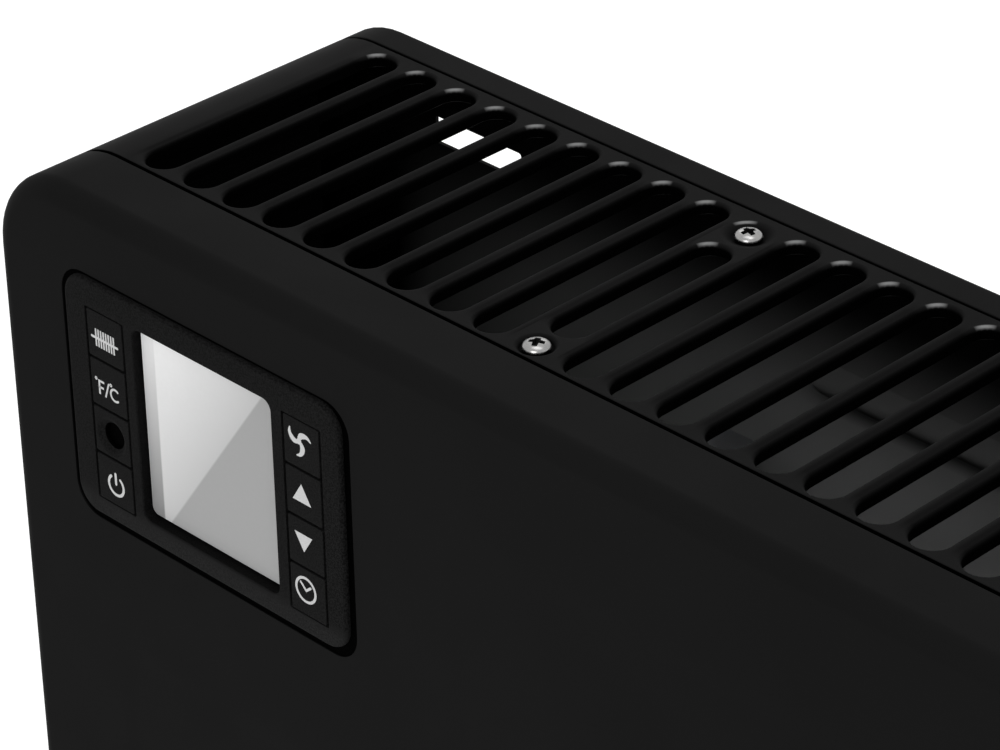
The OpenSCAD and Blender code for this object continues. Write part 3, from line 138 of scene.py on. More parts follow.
class NodeSheet:
    """A node tree while it is drawn."""

    def __init__(self, tree: bpy.types.NodeTree) -> None:
        """Takes a tree and empties it."""
        self.tree = tree
        self.tree.nodes.clear()

    def node(self, kind: str, inputs: dict[Any, Any] | None = None, **settings: Any) -> bpy.types.Node:
        """Adds a node.

        Args:
            kind: the node's type name.
            inputs: a value or a socket for each named or numbered input.
            settings: the node's own settings.

        Returns:
            The new node.
        """
        node = self.tree.nodes.new(kind)
        for name, value in settings.items():
            setattr(node, name, value)
        for name, value in (inputs or {}).items():
            self.feed(node.inputs[name], value)
        return node

    def feed(self, socket: Socket, value: Any) -> None:
        """Links a socket to another, or sets its value.

        Args:
            socket: the input.
            value: an output to link it to, or a plain value.
        """
        if isinstance(value, bpy.types.NodeSocket):
            self.tree.links.new(value, socket)
        else:
            socket.default_value = value

    def math(self, kind: str, first: Any, second: Any = 0.0) -> Socket:
        """Returns the result of one sum on two values."""
        return self.node("ShaderNodeMath", {0: first, 1: second}, operation=kind).outputs["Value"]


class Shade(NodeSheet):
    """A finish's node tree while it is drawn, read by Object coordinates."""

    def __init__(self, name: str) -> None:
        """Starts an empty material with a Principled shader.

        Args:
            name: the material's name.
        """
        self.material = bpy.data.materials.new(name)
        self.material.use_nodes = True
        super().__init__(self.material.node_tree)
        self.shader = self.node("ShaderNodeBsdfPrincipled")
        self.node("ShaderNodeOutputMaterial", {"Surface": self.shader.outputs["BSDF"]})
        self.place = self.node("ShaderNodeTexCoord").outputs["Object"]

    def stretched(self, scale: Point) -> Socket:
        """Returns the place scaled along each axis, for grain that runs one way."""
        return self.node("ShaderNodeMapping", {"Vector": self.place, "Scale": scale}).outputs["Vector"]

    def noise(self, scale: float, detail: float = 3.0, place: Socket | None = None) -> Socket:
        """Draws a noise of about one metre divided by scale.

        Args:
            scale: the noise's scale.
            detail: its octaves.
            place: the coordinates to read, Object coordinates if none are given.

        Returns:
            The noise, about 0.3 to 0.7.
        """
        inputs = {"Vector": place or self.place, "Scale": scale, "Detail": detail}
        return self.node("ShaderNodeTexNoise", inputs).outputs["Fac"]

    def ranged(self, value: Socket, low: float, high: float, at: Flat = (0.3, 0.7)) -> Socket:
        """Returns a value mapped from the span at to low and high."""
        inputs = {"Value": value, "From Min": at[0], "From Max": at[1], "To Min": low, "To Max": high}
        return self.node("ShaderNodeMapRange", inputs).outputs["Result"]

    def ramp(self, length: Socket, low: float, high: float, span: Flat) -> Socket:
        """Returns a length mapped from a span in millimetres to low and high."""
        return self.ranged(length, low, high, (span[0] * MM, span[1] * MM))

    def between(self, length: Socket, span: Span) -> Socket:
        """Returns 1 inside a span in millimetres, faded over its first and last stretch."""
        return self.times(self.ramp(length, 0.0, 1.0, span[:2]), self.ramp(length, 1.0, 0.0, span[2:]))

    def spread(self, value: Socket, middle: float, reach: Flat) -> Socket:
        """Returns a value mapped to a little below and above a middle."""
        return self.ranged(value, middle - reach[0], middle + reach[1])

    def mixed(self, share: Socket, first: Any, second: Any) -> Socket:
        """Mixes two colours.

        Args:
            share: the second colour's share.
            first: a colour or a socket.
            second: a colour or a socket.

        Returns:
            The mixed colour.
        """
        node = self.node("ShaderNodeMix", {"Factor": share}, data_type="RGBA")
        for socket, colour in zip((s for s in node.inputs if s.type == "RGBA"), (first, second)):
            self.feed(socket, colour)
        return next(s for s in node.outputs if s.type == "RGBA")

    def axis(self, name: str) -> Socket:
        """Returns one of the place's coordinates, in metres."""
        return self.node("ShaderNodeSeparateXYZ", {"Vector": self.place}).outputs[name]

    def times(self, first: Any, second: Any) -> Socket:
        """Returns two values' product."""
        return self.math("MULTIPLY", first, second)

    def minus(self, first: Any, second: Any) -> Socket:
        """Returns the first value less the second."""
        return self.math("SUBTRACT", first, second)

    def bumped(self, height: Socket, depth: float) -> None:
        """Presses a height into the surface.

        Args:
            height: the height, from 0 to 1.
            depth: its depth in metres.
        """
        bump = self.node("ShaderNodeBump", {"Height": height, "Distance": depth, "Strength": 1.0})
        self.feed(self.shader.inputs["Normal"], bump.outputs["Normal"])

    def set(self, **values: Any) -> None:
        """Sets the shader's inputs, named with underscores for spaces."""
        for name, value in values.items():
            self.feed(self.shader.inputs[name.replace("_", " ")], value)


# Finishes


class Slot(Enum):
    """The record's material slots."""

    PAINT = "black_paint"
    BEZEL = "bezel_plastic"
    LCD = "lcd"
    BOARD = "circuit_board"
    COMPONENT = "component_plastic"
    STEEL = "bare_steel"
    ALUMINIUM = "aluminium"
    CERAMIC = "ceramic"
    RUBBER = "rubber"
    BRASS = "brass"
    SCREW = "screw_steel"
    FOOT = "foot_plastic"


def grey(level: float, warmth: float = 0.0) -> tuple[float, float, float, float]:
    """Returns a linear grey, a little warmer in red and cooler in blue by warmth."""
    return (level * (1 + warmth), level, level * (1 - warmth), 1.0)


def tinted(level: float, tint: Point = (1.0, 1.0, 1.0)) -> tuple[float, ...]:
    """Returns a linear colour of a level and a tint."""
    return tuple(level * t for t in tint) + (1.0,)


BLACK = grey(0.0)


@dataclass(frozen=True)
class Finish:
    """What every finish has: its name, and the slot that it stands for."""

    name: str
    slot: Slot

    def material(self) -> bpy.types.Material:
        """Makes the finish's material.

        Returns:
            The material.
        """
        shade = Shade(self.name)
        self.draw(shade)
        return shade.material

    def draw(self, shade: Shade) -> None:
        """Draws the finish's nodes, which each kind of finish does in its own way."""
        raise NotImplementedError


@dataclass(frozen=True)
class PowderPaint(Finish):
    """Baked black powder paint, with its fine orange peel and a little dust in the texture."""

    name: str = "powder_paint"
    slot: Slot = Slot.PAINT
    level: float = 0.0078
    uneven: Flat = (0.8, 1.25)
    gloss: float = 0.008
    roughness: float = 0.5
    roughness_reach: Flat = (0.03, 0.04)
    cloud: float = 9.0
    dust: float = 60.0
    peel: float = 2600.0
    peel_depth: float = 0.000012

    def draw(self, shade: Shade) -> None:
        """Draws the paint.

        Args:
            shade: the finish's node tree.
        """
        cloud = shade.noise(self.cloud, 4.0)
        fine = shade.noise(self.peel, 2.0)
        shade.set(Base_Color=self.colour(shade, cloud), Specular_IOR_Level=self.gloss,
                  Roughness=shade.spread(shade.noise(self.dust), self.roughness, self.roughness_reach))
        shade.bumped(fine, self.peel_depth)

    def colour(self, shade: Shade, cloud: Socket) -> Socket:
        """Returns the paint's colour, a little uneven by the cloud."""
        low, high = self.uneven
        return shade.mixed(cloud, grey(self.level * low), grey(self.level * high))


@dataclass(frozen=True)
class LiningPaintWithPaintedShade(PowderPaint):
    """The pale primer inside a cover, with painted shade towards the grille, the bottom, the sides and the
    corners, and a painted shadow under the bead.
    """

    name: str = "lining_paint"
    level: float = 0.576
    uneven: Flat = (0.85, 1.15)
    gloss: float = 0.02
    roughness: float = 0.6
    # The painted shade's darkest colour, and the spans along Z and X where it falls; the bead's stripe is a
    # painted shadow
    dark: float = 0.0015
    painted_shade_z: Flat = (352.0, 410.0)
    painted_shade_power: float = 1.9
    painted_side_shade_x: Flat = (151.0, 285.0)
    painted_side_shade_share: float = 0.19
    painted_low_shade_z: Flat = (300.0, 345.0)
    painted_low_shade_share: float = 0.4
    painted_corner_shadow_x: Flat = (286.0, 298.0)
    bead_shadow_z: Span = (378.5, 382.0, 383.0, 386.5)
    bead_shadow_x: Flat = (156.0, 170.0)
    bead_shadow_strength: float = 0.8

    def colour(self, shade: Shade, cloud: Socket) -> Socket:
        """Draws the primer's colour, with painted shade that fades it to black towards the edges and a
        painted shadow under the bead.

        Args:
            shade: the finish's node tree.
            cloud: the noise that makes it uneven.

        Returns:
            The colour.
        """
        full = super().colour(shade, cloud)
        # Painted shade: darker towards the grille and the bottom, towards the sides and in the corners, with
        # a painted shadow under the bead
        z, reach = shade.axis("Z"), shade.math("ABSOLUTE", shade.axis("X"))
        share = shade.math("POWER", shade.ramp(z, 1.0, 0.0, self.painted_shade_z), self.painted_shade_power)
        share = shade.times(share, shade.ramp(z, self.painted_low_shade_share, 1.0, self.painted_low_shade_z))
        share = shade.times(share, shade.ramp(reach, 1.0, self.painted_side_shade_share, self.painted_side_shade_x))
        share = shade.times(share, shade.ramp(reach, 1.0, 0.0, self.painted_corner_shadow_x))
        bead = shade.times(shade.between(z, self.bead_shadow_z), shade.ramp(reach, self.bead_shadow_strength, 0.0, self.bead_shadow_x))
        return shade.mixed(shade.times(share, shade.minus(1.0, bead)), grey(self.dark), full)


@dataclass(frozen=True)
class GrillePaint(PowderPaint):
    """The wrap's paint, with painted shade in the slots, the seams and round the screws, and painted
    highlights on the rear lips.
    """

    name: str = "grille_paint"
    row: SlotRow = SlotRow()
    margin: float = 1.0
    margin_fade: float = 0.1
    # Where the painted shade down inside the slots starts and ends along Z, and its colour
    painted_slot_shade_z: Flat = (425.9, 426.95)
    painted_slot_shade_level: float = 0.0004
    lip_highlight_span: Span = (4.5, 4.8, 5.15, 5.6)
    seam_shadow_y: Span = (-33.78, -33.6, 43.6, 43.78)
    shade_drop: float = 0.75
    shade_x: Flat = (5.4, 6.4)
    shade_y: Span = (-31.0, -27.0, 34.0, 38.0)
    screw_shade_y: Span = (-22.0, -18.0, 22.0, 26.0)
    screw_shadow_span: Flat = (3.55, 4.0)
    dimple_highlight_span: Span = (5.0, 5.4, 5.8, 6.2)
    # The painted highlights' direction round a slot's end, their spread and their colour
    highlight_turn: float = 140.0
    highlight_reach: Flat = (0.88, 0.995)
    highlight_level: float = 0.2

    def colour(self, shade: Shade, cloud: Socket) -> Socket:
        """Draws the paint's colour by its place on the grille, with its painted shade and painted highlights.

        Args:
            shade: the finish's node tree.
            cloud: the noise that makes it uneven.

        Returns:
            The colour.
        """
        paint = super().colour(shade, cloud)
        x, y, z = (shade.axis(name) for name in "XYZ")
        half = self.row.reach + self.margin
        on_grille = shade.ramp(shade.math("ABSOLUTE", x), 1.0, 0.0, (half - self.margin_fade, half))
        across = shade.minus(self.place_in(shade, x, self.row.pitch), self.row.pitch / 2 * MM)
        at_screw = shade.math("LESS_THAN", self.place_in(shade, x, self.row.screw_pitch), self.row.pitch * MM)
        # Painted shade: the paint goes black down inside the slots, higher on the side of each land that lies
        # in its slot's shade
        lowered = shade.minus(z, shade.times(self.lee(shade, across, y, at_screw), self.shade_drop * MM))
        deep = shade.times(on_grille, shade.ramp(lowered, 1.0, 0.0, self.painted_slot_shade_z))
        paint = shade.mixed(deep, paint, grey(self.painted_slot_shade_level))
        # Painted shadow: black in the seams, beyond the wrap's front and rear edges
        paint = shade.mixed(shade.minus(1.0, shade.between(y, self.seam_shadow_y)), paint, BLACK)
        # Painted highlights: a pale crescent on each slot's rear lip and on each rear dimple's far rim
        end, screw_end = (ys[1] - self.row.end_r for ys in (self.row.slot_y, self.row.screw_slot_y))
        drop = shade.times(at_screw, (screw_end - end) * MM)
        along = shade.minus(shade.minus(y, end * MM), drop)
        lip_highlight = self.painted_crescent(shade, across, along, self.lip_highlight_span)
        # Painted shadow: a black ring round each screw head in its dimple
        for screw_y in self.row.screw_y:
            past = shade.minus(y, screw_y * MM)
            ring = shade.ramp(self.radius(shade, across, past), 1.0, 0.0, self.screw_shadow_span)
            paint = shade.mixed(shade.times(at_screw, ring), paint, BLACK)
        dimple_highlight = shade.times(at_screw, self.painted_crescent(shade, across, past, self.dimple_highlight_span))
        share = shade.times(on_grille, shade.math("MAXIMUM", lip_highlight, dimple_highlight))
        return shade.mixed(share, paint, grey(self.highlight_level))

    def place_in(self, shade: Shade, x: Socket, pitch: float) -> Socket:
        """Returns how far X is past the start of its own pitch."""
        from_start = shade.math("ADD", x, self.row.pitch / 2 * MM)
        return shade.math("FLOORED_MODULO", from_start, pitch * MM)

    def lee(self, shade: Shade, across: Socket, y: Socket, at_screw: Socket) -> Socket:
        """Draws where a land lies in its slot's shade.

        Args:
            shade: the finish's node tree.
            across: the distance from the slot's middle line.
            y: the place along the slot.
            at_screw: 1 at a slot with screws.

        Returns:
            The shade's strength.
        """
        edge = shade.ramp(across, 0.0, 1.0, self.shade_x)
        side = shade.math("MAXIMUM", shade.math("LESS_THAN", across, 0.0), edge)
        beside = shade.math("MAXIMUM", shade.minus(1.0, at_screw), shade.between(y, self.screw_shade_y))
        return shade.times(side, shade.math("MINIMUM", beside, shade.between(y, self.shade_y)))

    def radius(self, shade: Shade, across: Socket, along: Socket) -> Socket:
        """Returns the distance from a centre."""
        return shade.math("SQRT", shade.math("ADD", shade.times(across, across), shade.times(along, along)))

    def painted_crescent(self, shade: Shade, across: Socket, along: Socket, span: Span) -> Socket:
        """Draws a painted highlight in a crescent round a centre.

        Args:
            shade: the finish's node tree.
            across: the distance from the centre along X.
            along: the distance from it along Y.
            span: the radii where the highlight starts, is full, begins to fade and ends.

        Returns:
            The highlight's strength.
        """
        radius = self.radius(shade, across, along)
        turn = math.radians(self.highlight_turn)
        lean = shade.math("ADD", shade.times(across, math.cos(turn)), shade.times(along, math.sin(turn)))
        reach = shade.ranged(shade.math("DIVIDE", lean, radius), 0.0, 1.0, self.highlight_reach)
        return shade.times(reach, shade.between(radius, span))


@dataclass(frozen=True)
class SparkedPlastic(Finish):
    """Moulded plastic with the fine pitted texture of a spark-eroded mould."""

    level: float = 0.014
    tint: Point = (1.0, 1.0, 1.0)
    gloss: float = 0.2
    roughness: float = 0.55
    roughness_reach: Flat = (0.05, 0.07)
    pits: float = 3200.0
    pit_depth: float = 0.00002
    pit_span: Flat = (0.42, 0.58)
    patch: float = 35.0
    patch_share: Flat = (0.15, 0.3)
    grain: float = 0.18
    painted_light_gain: float = 1.0
    painted_light_z: Flat = (0.0, 1.0)
    painted_light_share: Flat = (0.0, 0.7)

    def draw(self, shade: Shade) -> None:
        """Draws the plastic, with painted light that makes it paler below a span along Z.

        Args:
            shade: the finish's node tree.
        """
        pits = shade.noise(self.pits, 4.0)
        dark = tinted(self.level * (1 - self.grain), self.tint)
        light = tinted(self.level * (1 + self.grain), self.tint)
        speck = shade.mixed(shade.ranged(pits, 0.0, 1.0, self.pit_span), dark, light)
        patch = shade.mixed(shade.noise(self.patch), dark, light)
        colour = shade.mixed(shade.ranged(pits, *self.patch_share), speck, patch)
        # Painted light: the plastic turns paler towards the bottom, below the span along Z
        if self.painted_light_gain != 1.0:
            pale = tinted(self.level * self.painted_light_gain, self.tint)
            pale = shade.mixed(shade.ranged(pits, *self.painted_light_share), pale, dark)
            colour = shade.mixed(shade.ramp(shade.axis("Z"), 1.0, 0.0, self.painted_light_z), colour, pale)
        shade.set(Base_Color=colour, Roughness=shade.spread(pits, self.roughness, self.roughness_reach),
                  Specular_IOR_Level=self.gloss)
        shade.bumped(pits, self.pit_depth)


@dataclass(frozen=True)
class RolledMetal(Finish):
    """Bare metal with grain drawn along one axis, duller where it has been handled."""

    colour: Point
    roughness: float = 0.34
    grain: Point = (60.0, 1400.0, 1400.0)
    grain_depth: float = 0.000004
    roughness_reach: Flat = (0.07, 0.1)
    stain: float = 24.0
    stain_share: float = 0.8
    stain_level: float = 0.72

    def draw(self, shade: Shade) -> None:
        """Draws the metal.

        Args:
            shade: the finish's node tree.
        """
        grain = shade.noise(1.0, 3.0, shade.stretched(self.grain))
        stain = shade.ranged(shade.noise(self.stain, 4.0), 0.0, self.stain_share)
        colour = shade.mixed(stain, tinted(1.0, self.colour), tinted(self.stain_level, self.colour))
        shade.set(Base_Color=colour, Metallic=1.0,
                  Roughness=shade.spread(grain, self.roughness, self.roughness_reach))
        shade.bumped(grain, self.grain_depth)


@dataclass(frozen=True)
class PlatedScrew(Finish):
    """Bright plated screw steel with faint turning marks."""

    name: str = "plated_screw"
    slot: Slot = Slot.SCREW
    level: float = 0.34
    warmth: float = 0.02
    worn_level: float = 0.8
    roughness: float = 0.24
    roughness_reach: Flat = (0.05, 0.1)
    wear: float = 700.0
    marks: float = 2500.0
    mark_depth: float = 0.000003

    def draw(self, shade: Shade) -> None:
        """Draws the plating.

        Args:
            shade: the finish's node tree.
        """
        wear = shade.noise(self.wear, 3.0)
        bright, dull = grey(self.level, self.warmth), grey(self.level * self.worn_level)
        shade.set(Base_Color=shade.mixed(shade.ranged(wear, 0.0, 1.0), bright, dull), Metallic=1.0,
                  Roughness=shade.spread(wear, self.roughness, self.roughness_reach))
        shade.bumped(shade.noise(self.marks), self.mark_depth)


@dataclass(frozen=True)
class ScreenFilm(Finish):
    """The display's face: a pale film with a painted reflection across its upper left part and a painted
    shade strip at its left.
    """

    name: str = "screen_film"
    slot: Slot = Slot.LCD
    # Where the painted reflection's edge runs and how soft it is, and its levels near the edge and far from
    # it
    edge_from: Flat = (-226.9, 402.1)
    edge_to: Flat = (-259.5, 356.4)
    edge_fade: Flat = (-0.25, 0.25)
    painted_reflection_reach: float = 26.0
    plain: float = 0.37
    near: float = 0.55
    far: float = 0.9
    painted_shade_strip_x: Flat = (-264.1, -263.7)
    painted_shade_strip_z: Flat = (355.0, 398.0)
    strip_shade: Flat = (0.42, 0.9)
    dust: float = 900.0
    dust_share: float = 0.05
    dust_level: float = 0.5
    roughness: float = 0.3
    gloss: float = 0.1

    def draw(self, shade: Shade) -> None:
        """Draws the film, with the painted reflection's edge along a straight line and a painted shade strip
        at its left.

        Args:
            shade: the finish's node tree.
        """
        # Painted reflection: paler across the upper left part, past a straight edge
        run = Vector(self.edge_to) - Vector(self.edge_from)
        across = Vector((run.y, -run.x)).normalized()
        inputs = {0: shade.place, 1: (across.x / MM, 0.0, across.y / MM)}
        offset = shade.node("ShaderNodeVectorMath", inputs, operation="DOT_PRODUCT").outputs["Value"]
        beyond = shade.minus(offset, Vector(self.edge_from).dot(across))
        painted_reflection = shade.ranged(beyond, 0.0, 1.0, (0.0, self.painted_reflection_reach))
        level = shade.mixed(painted_reflection, grey(self.near), grey(self.far))
        film = shade.mixed(shade.ranged(beyond, 0.0, 1.0, self.edge_fade), grey(self.plain), level)
        # Painted shade: a darker strip along the left edge, darker towards the bottom
        low, high = (1.0 - share for share in self.strip_shade)
        strip = shade.times(shade.ramp(shade.axis("X"), 1.0, 0.0, self.painted_shade_strip_x),
                            shade.ramp(shade.axis("Z"), low, high, self.painted_shade_strip_z))
        film = shade.mixed(strip, film, BLACK)
        dust = shade.ranged(shade.noise(self.dust, 4.0), 0.0, self.dust_share)
        shade.set(Base_Color=shade.mixed(dust, film, grey(self.dust_level)), Roughness=self.roughness,
                  Specular_IOR_Level=self.gloss)


@dataclass(frozen=True)
class ScreenInk(Finish):
    """The pale ink of the printed signs, with the mesh of its screen."""

    name: str = "screen_ink"
    slot: Slot = Slot.BEZEL
    level: float = 0.62
    thin_level: float = 0.9
    roughness: float = 0.5
    gloss: float = 0.2
    mesh: float = 4200.0
    mesh_depth: float = 0.000006

    def draw(self, shade: Shade) -> None:
        """Draws the ink.

        Args:
            shade: the finish's node tree.
        """
        mesh = shade.noise(self.mesh, 2.0)
        thin = grey(self.level * self.thin_level)
        shade.set(Base_Color=shade.mixed(shade.ranged(mesh, 0.0, 1.0), thin, grey(self.level)),
                  Roughness=self.roughness, Specular_IOR_Level=self.gloss)
        shade.bumped(mesh, self.mesh_depth)


@dataclass(frozen=True)
class BoardLaminate(Finish):
    """Green board laminate with the raised lines of its copper tracks."""

    name: str = "board_laminate"
    slot: Slot = Slot.BOARD
    green: Point = (0.012, 0.07, 0.026)
    track: Point = (0.03, 0.16, 0.06)
    roughness: float = 0.35
    track_scale: float = 55.0
    track_width: float = 0.035
    track_step: Flat = (0.9, 0.22)
    track_shift: float = 0.37
    track_depth: float = 0.00003

    def draw(self, shade: Shade) -> None:
        """Draws the board.

        Args:
            shade: the finish's node tree.
        """
        upright = shade.node("ShaderNodeMapping", {"Vector": shade.place, "Rotation": (math.pi / 2, 0, 0)})
        inputs = {"Vector": upright.outputs[0], "Scale": self.track_scale, "Mortar Size": self.track_width,
                  "Brick Width": self.track_step[0], "Row Height": self.track_step[1], "Color1": BLACK,
                  "Color2": BLACK, "Mortar": grey(1.0)}
        tracks = shade.node("ShaderNodeTexBrick", inputs, offset=self.track_shift).outputs["Color"]
        colour = shade.mixed(tracks, tinted(1.0, self.green), tinted(1.0, self.track))
        shade.set(Base_Color=colour, Roughness=self.roughness)
        shade.bumped(shade.node("ShaderNodeRGBToBW", {0: tracks}).outputs[0], self.track_depth)


@dataclass(frozen=True)
class SpeckedMatt(Finish):
    """A matt moulded or fired material, with specks or dust of another colour and a fine tooth."""

    base: Point
    specks: Point
    scale: float
    share: float
    span: Flat
    roughness: float
    gloss: float
    tooth: float
    tooth_depth: float

    def draw(self, shade: Shade) -> None:
        """Draws the material.

        Args:
            shade: the finish's node tree.
        """
        speck = shade.ranged(shade.noise(self.scale, 5.0), 0.0, self.share, self.span)
        shade.set(Base_Color=shade.mixed(speck, tinted(1.0, self.base), tinted(1.0, self.specks)),
                  Roughness=self.roughness, Specular_IOR_Level=self.gloss)
        shade.bumped(shade.noise(self.tooth), self.tooth_depth)


class Finishes:
    """Every finish, drawn once and kept by its name."""

    def __init__(self) -> None:
        """Starts with nothing drawn."""
        self.drawn: dict[str, bpy.types.Material] = {}

    def of(self, finish: Finish) -> bpy.types.Material:
        """Gives a finish's material, drawn at its first use.

        Args:
            finish: the finish.

        Returns:
            The material.
        """
        if finish.name not in self.drawn:
            self.drawn[finish.name] = finish.material()
        return self.drawn[finish.name]


PAINT = PowderPaint()
GRILLE = GrillePaint()
# The rear pan's inner side: pale primer with painted shade
LINING_WITH_SHADE = LiningPaintWithPaintedShade()
# The bezel's paler band along its bottom edge is painted light
BEZEL = SparkedPlastic("bezel_plastic", Slot.BEZEL, level=0.0075, gloss=0.012, pits=2400.0, pit_depth=0.00005,
                       grain=0.6, painted_light_gain=2.6, painted_light_z=(350.0, 353.6))
KEY = SparkedPlastic("key_plastic", Slot.BEZEL, level=0.0085, gloss=0.012, pits=2600.0, pit_depth=0.00005,
                     grain=0.5)
# The black rim round the bezel is a painted drop shadow
DROP_SHADOW_RIM = SparkedPlastic("rim_plastic", Slot.BEZEL, level=0.0004, gloss=0.002, roughness=0.6)
LENS = SparkedPlastic("receiver_plastic", Slot.BEZEL, level=0.0004, gloss=0.002, roughness=0.4,
                      pit_depth=0.000002)
# The display recess's wall is darker than the bezel: painted shade in the recess
SHADED_WELL = SparkedPlastic("well_plastic", Slot.BEZEL, level=0.006, gloss=0.008, roughness=0.6, grain=0.5)
# The screws' cross recesses are near-black: painted shade in the recesses
SHADED_RECESS = RolledMetal("recess_steel", Slot.SCREW, (0.006, 0.006, 0.006), 0.6, (900.0, 900.0, 900.0))
INK = ScreenInk()
FILM = ScreenFilm()
SCREW = PlatedScrew()
ALUMINIUM = RolledMetal("element_aluminium", Slot.ALUMINIUM, (0.7, 0.71, 0.72), 0.38)
STEEL = RolledMetal("zinc_steel", Slot.STEEL, (0.52, 0.53, 0.55), 0.36, (900.0, 50.0, 900.0))
BRASS = RolledMetal("pendulum_brass", Slot.BRASS, (0.72, 0.5, 0.2), 0.3, (900.0, 900.0, 60.0))
CERAMIC = SpeckedMatt("insulator_ceramic", Slot.CERAMIC, base=(0.72, 0.69, 0.62), specks=(0.5, 0.46, 0.4),
                      scale=1500.0, share=1.0, span=(0.55, 0.75), roughness=0.5, gloss=0.5, tooth=1800.0,
                      tooth_depth=0.00001)
LAMINATE = BoardLaminate()
RUBBER = SpeckedMatt("pad_rubber", Slot.RUBBER, base=(0.006, 0.006, 0.006), specks=(0.03, 0.03, 0.03),
                     scale=140.0, share=0.6, span=(0.45, 0.8), roughness=0.85, gloss=0.15, tooth=2600.0,
                     tooth_depth=0.00002)
FOOT = SparkedPlastic("foot_plastic", Slot.FOOT, level=0.008, gloss=0.3, roughness=0.5, pits=1800.0)
COMPONENT = SparkedPlastic("component_plastic", Slot.COMPONENT, level=0.02, gloss=0.4, roughness=0.4)
RELAY = SparkedPlastic("relay_plastic", Slot.COMPONENT, level=0.16, tint=(0.12, 0.3, 1.0), gloss=0.4,
                       roughness=0.35)
TERMINAL = SparkedPlastic("terminal_plastic", Slot.COMPONENT, level=0.16, tint=(0.2, 1.0, 0.4), roughness=0.4)
COIL_TAPE = SparkedPlastic("coil_tape", Slot.COMPONENT, level=0.5, tint=(1.0, 0.72, 0.1), roughness=0.35,
                           pits=500.0)


# Outlines and skins


def rounded(corners: Sequence[Flat], r: float, inset: float = 0.0, steps: int = CORNER_STEPS) -> list[Flat]:
    """Rounds a square-cornered outline and moves it inwards.

    Args:
        corners: the corners, counterclockwise, on sides along the two axes.
        r: the radius at an outer corner before the inset.
        inset: how far inwards the outline moves.
        steps: the parts of each corner's arc.

    Returns:
        The outline's points, steps + 1 for each corner.
    """
    count = len(corners)
    points: list[Flat] = []
    for i, corner in enumerate(corners):
        here = Vector(corner)
        come = (here - Vector(corners[i - 1])).normalized()
        leave = (Vector(corners[(i + 1) % count]) - here).normalized()
        outer = come.x * leave.y - come.y * leave.x > 0
        radius = max(r - inset if outer else r + inset, SMALLEST_R)
        left = Vector((-come.y, come.x)) + Vector((-leave.y, leave.x))
        centre = here + left * inset + (leave - come) * radius
        for k in range(steps + 1):
            turn = math.pi / 2 * k / steps
            point = centre + (come * math.sin(turn) - leave * math.cos(turn)) * radius
            points.append((point.x, point.y))
    return points


def box_corners(x0: float, x1: float, z0: float, z1: float) -> list[Flat]:
    """Returns a rectangle's corners, counterclockwise."""
    return [(x0, z0), (x1, z0), (x1, z1), (x0, z1)]


def box_at(x: float, z: float, width: float, height: float) -> list[Flat]:
    """Returns the corners of a rectangle round its middle, counterclockwise."""
    return box_corners(x - width / 2, x + width / 2, z - height / 2, z + height / 2)


def circle(x: float, z: float, r: float, steps: int = 32) -> list[Flat]:
    """Returns a circle's points, counterclockwise."""
    turns = [math.tau * k / steps for k in range(steps)]
    return [(x + r * math.cos(turn), z + r * math.sin(turn)) for turn in turns]


def inside(point: Flat, outline: Sequence[Flat]) -> bool:
    """Tells whether a point lies inside an outline.

    Args:
        point: the point.
        outline: the outline's points.

    Returns:
        True where it does.
    """
    x, y = point
    hit = False
    for i, (x1, y1) in enumerate(outline):
        x0, y0 = outline[i - 1]
        if (y0 > y) != (y1 > y) and x < (x1 - x0) * (y - y0) / (y1 - y0) + x0:
            hit = not hit
    return hit


def smooth_step(share: float) -> float:
    """Returns a share from 0 to 1 eased at both ends."""
    return share * share * (3 - 2 * share)


def quarter_round(r: float, steps: int) -> list[Flat]:
    """Returns a rounded edge's insets and depths, from its side up to its face."""
    turns = [math.pi / 2 * (1 - k / steps) for k in range(steps + 1)]
    return [(r * (1 - math.sin(turn)), r * (1 - math.cos(turn))) for turn in turns]


def turned(points: Iterable[Flat], angle: float) -> list[Flat]:
    """Returns points turned about the origin, by radians."""
    cos, sin = math.cos(angle), math.sin(angle)
    return [(x * cos - y * sin, x * sin + y * cos) for x, y in points]


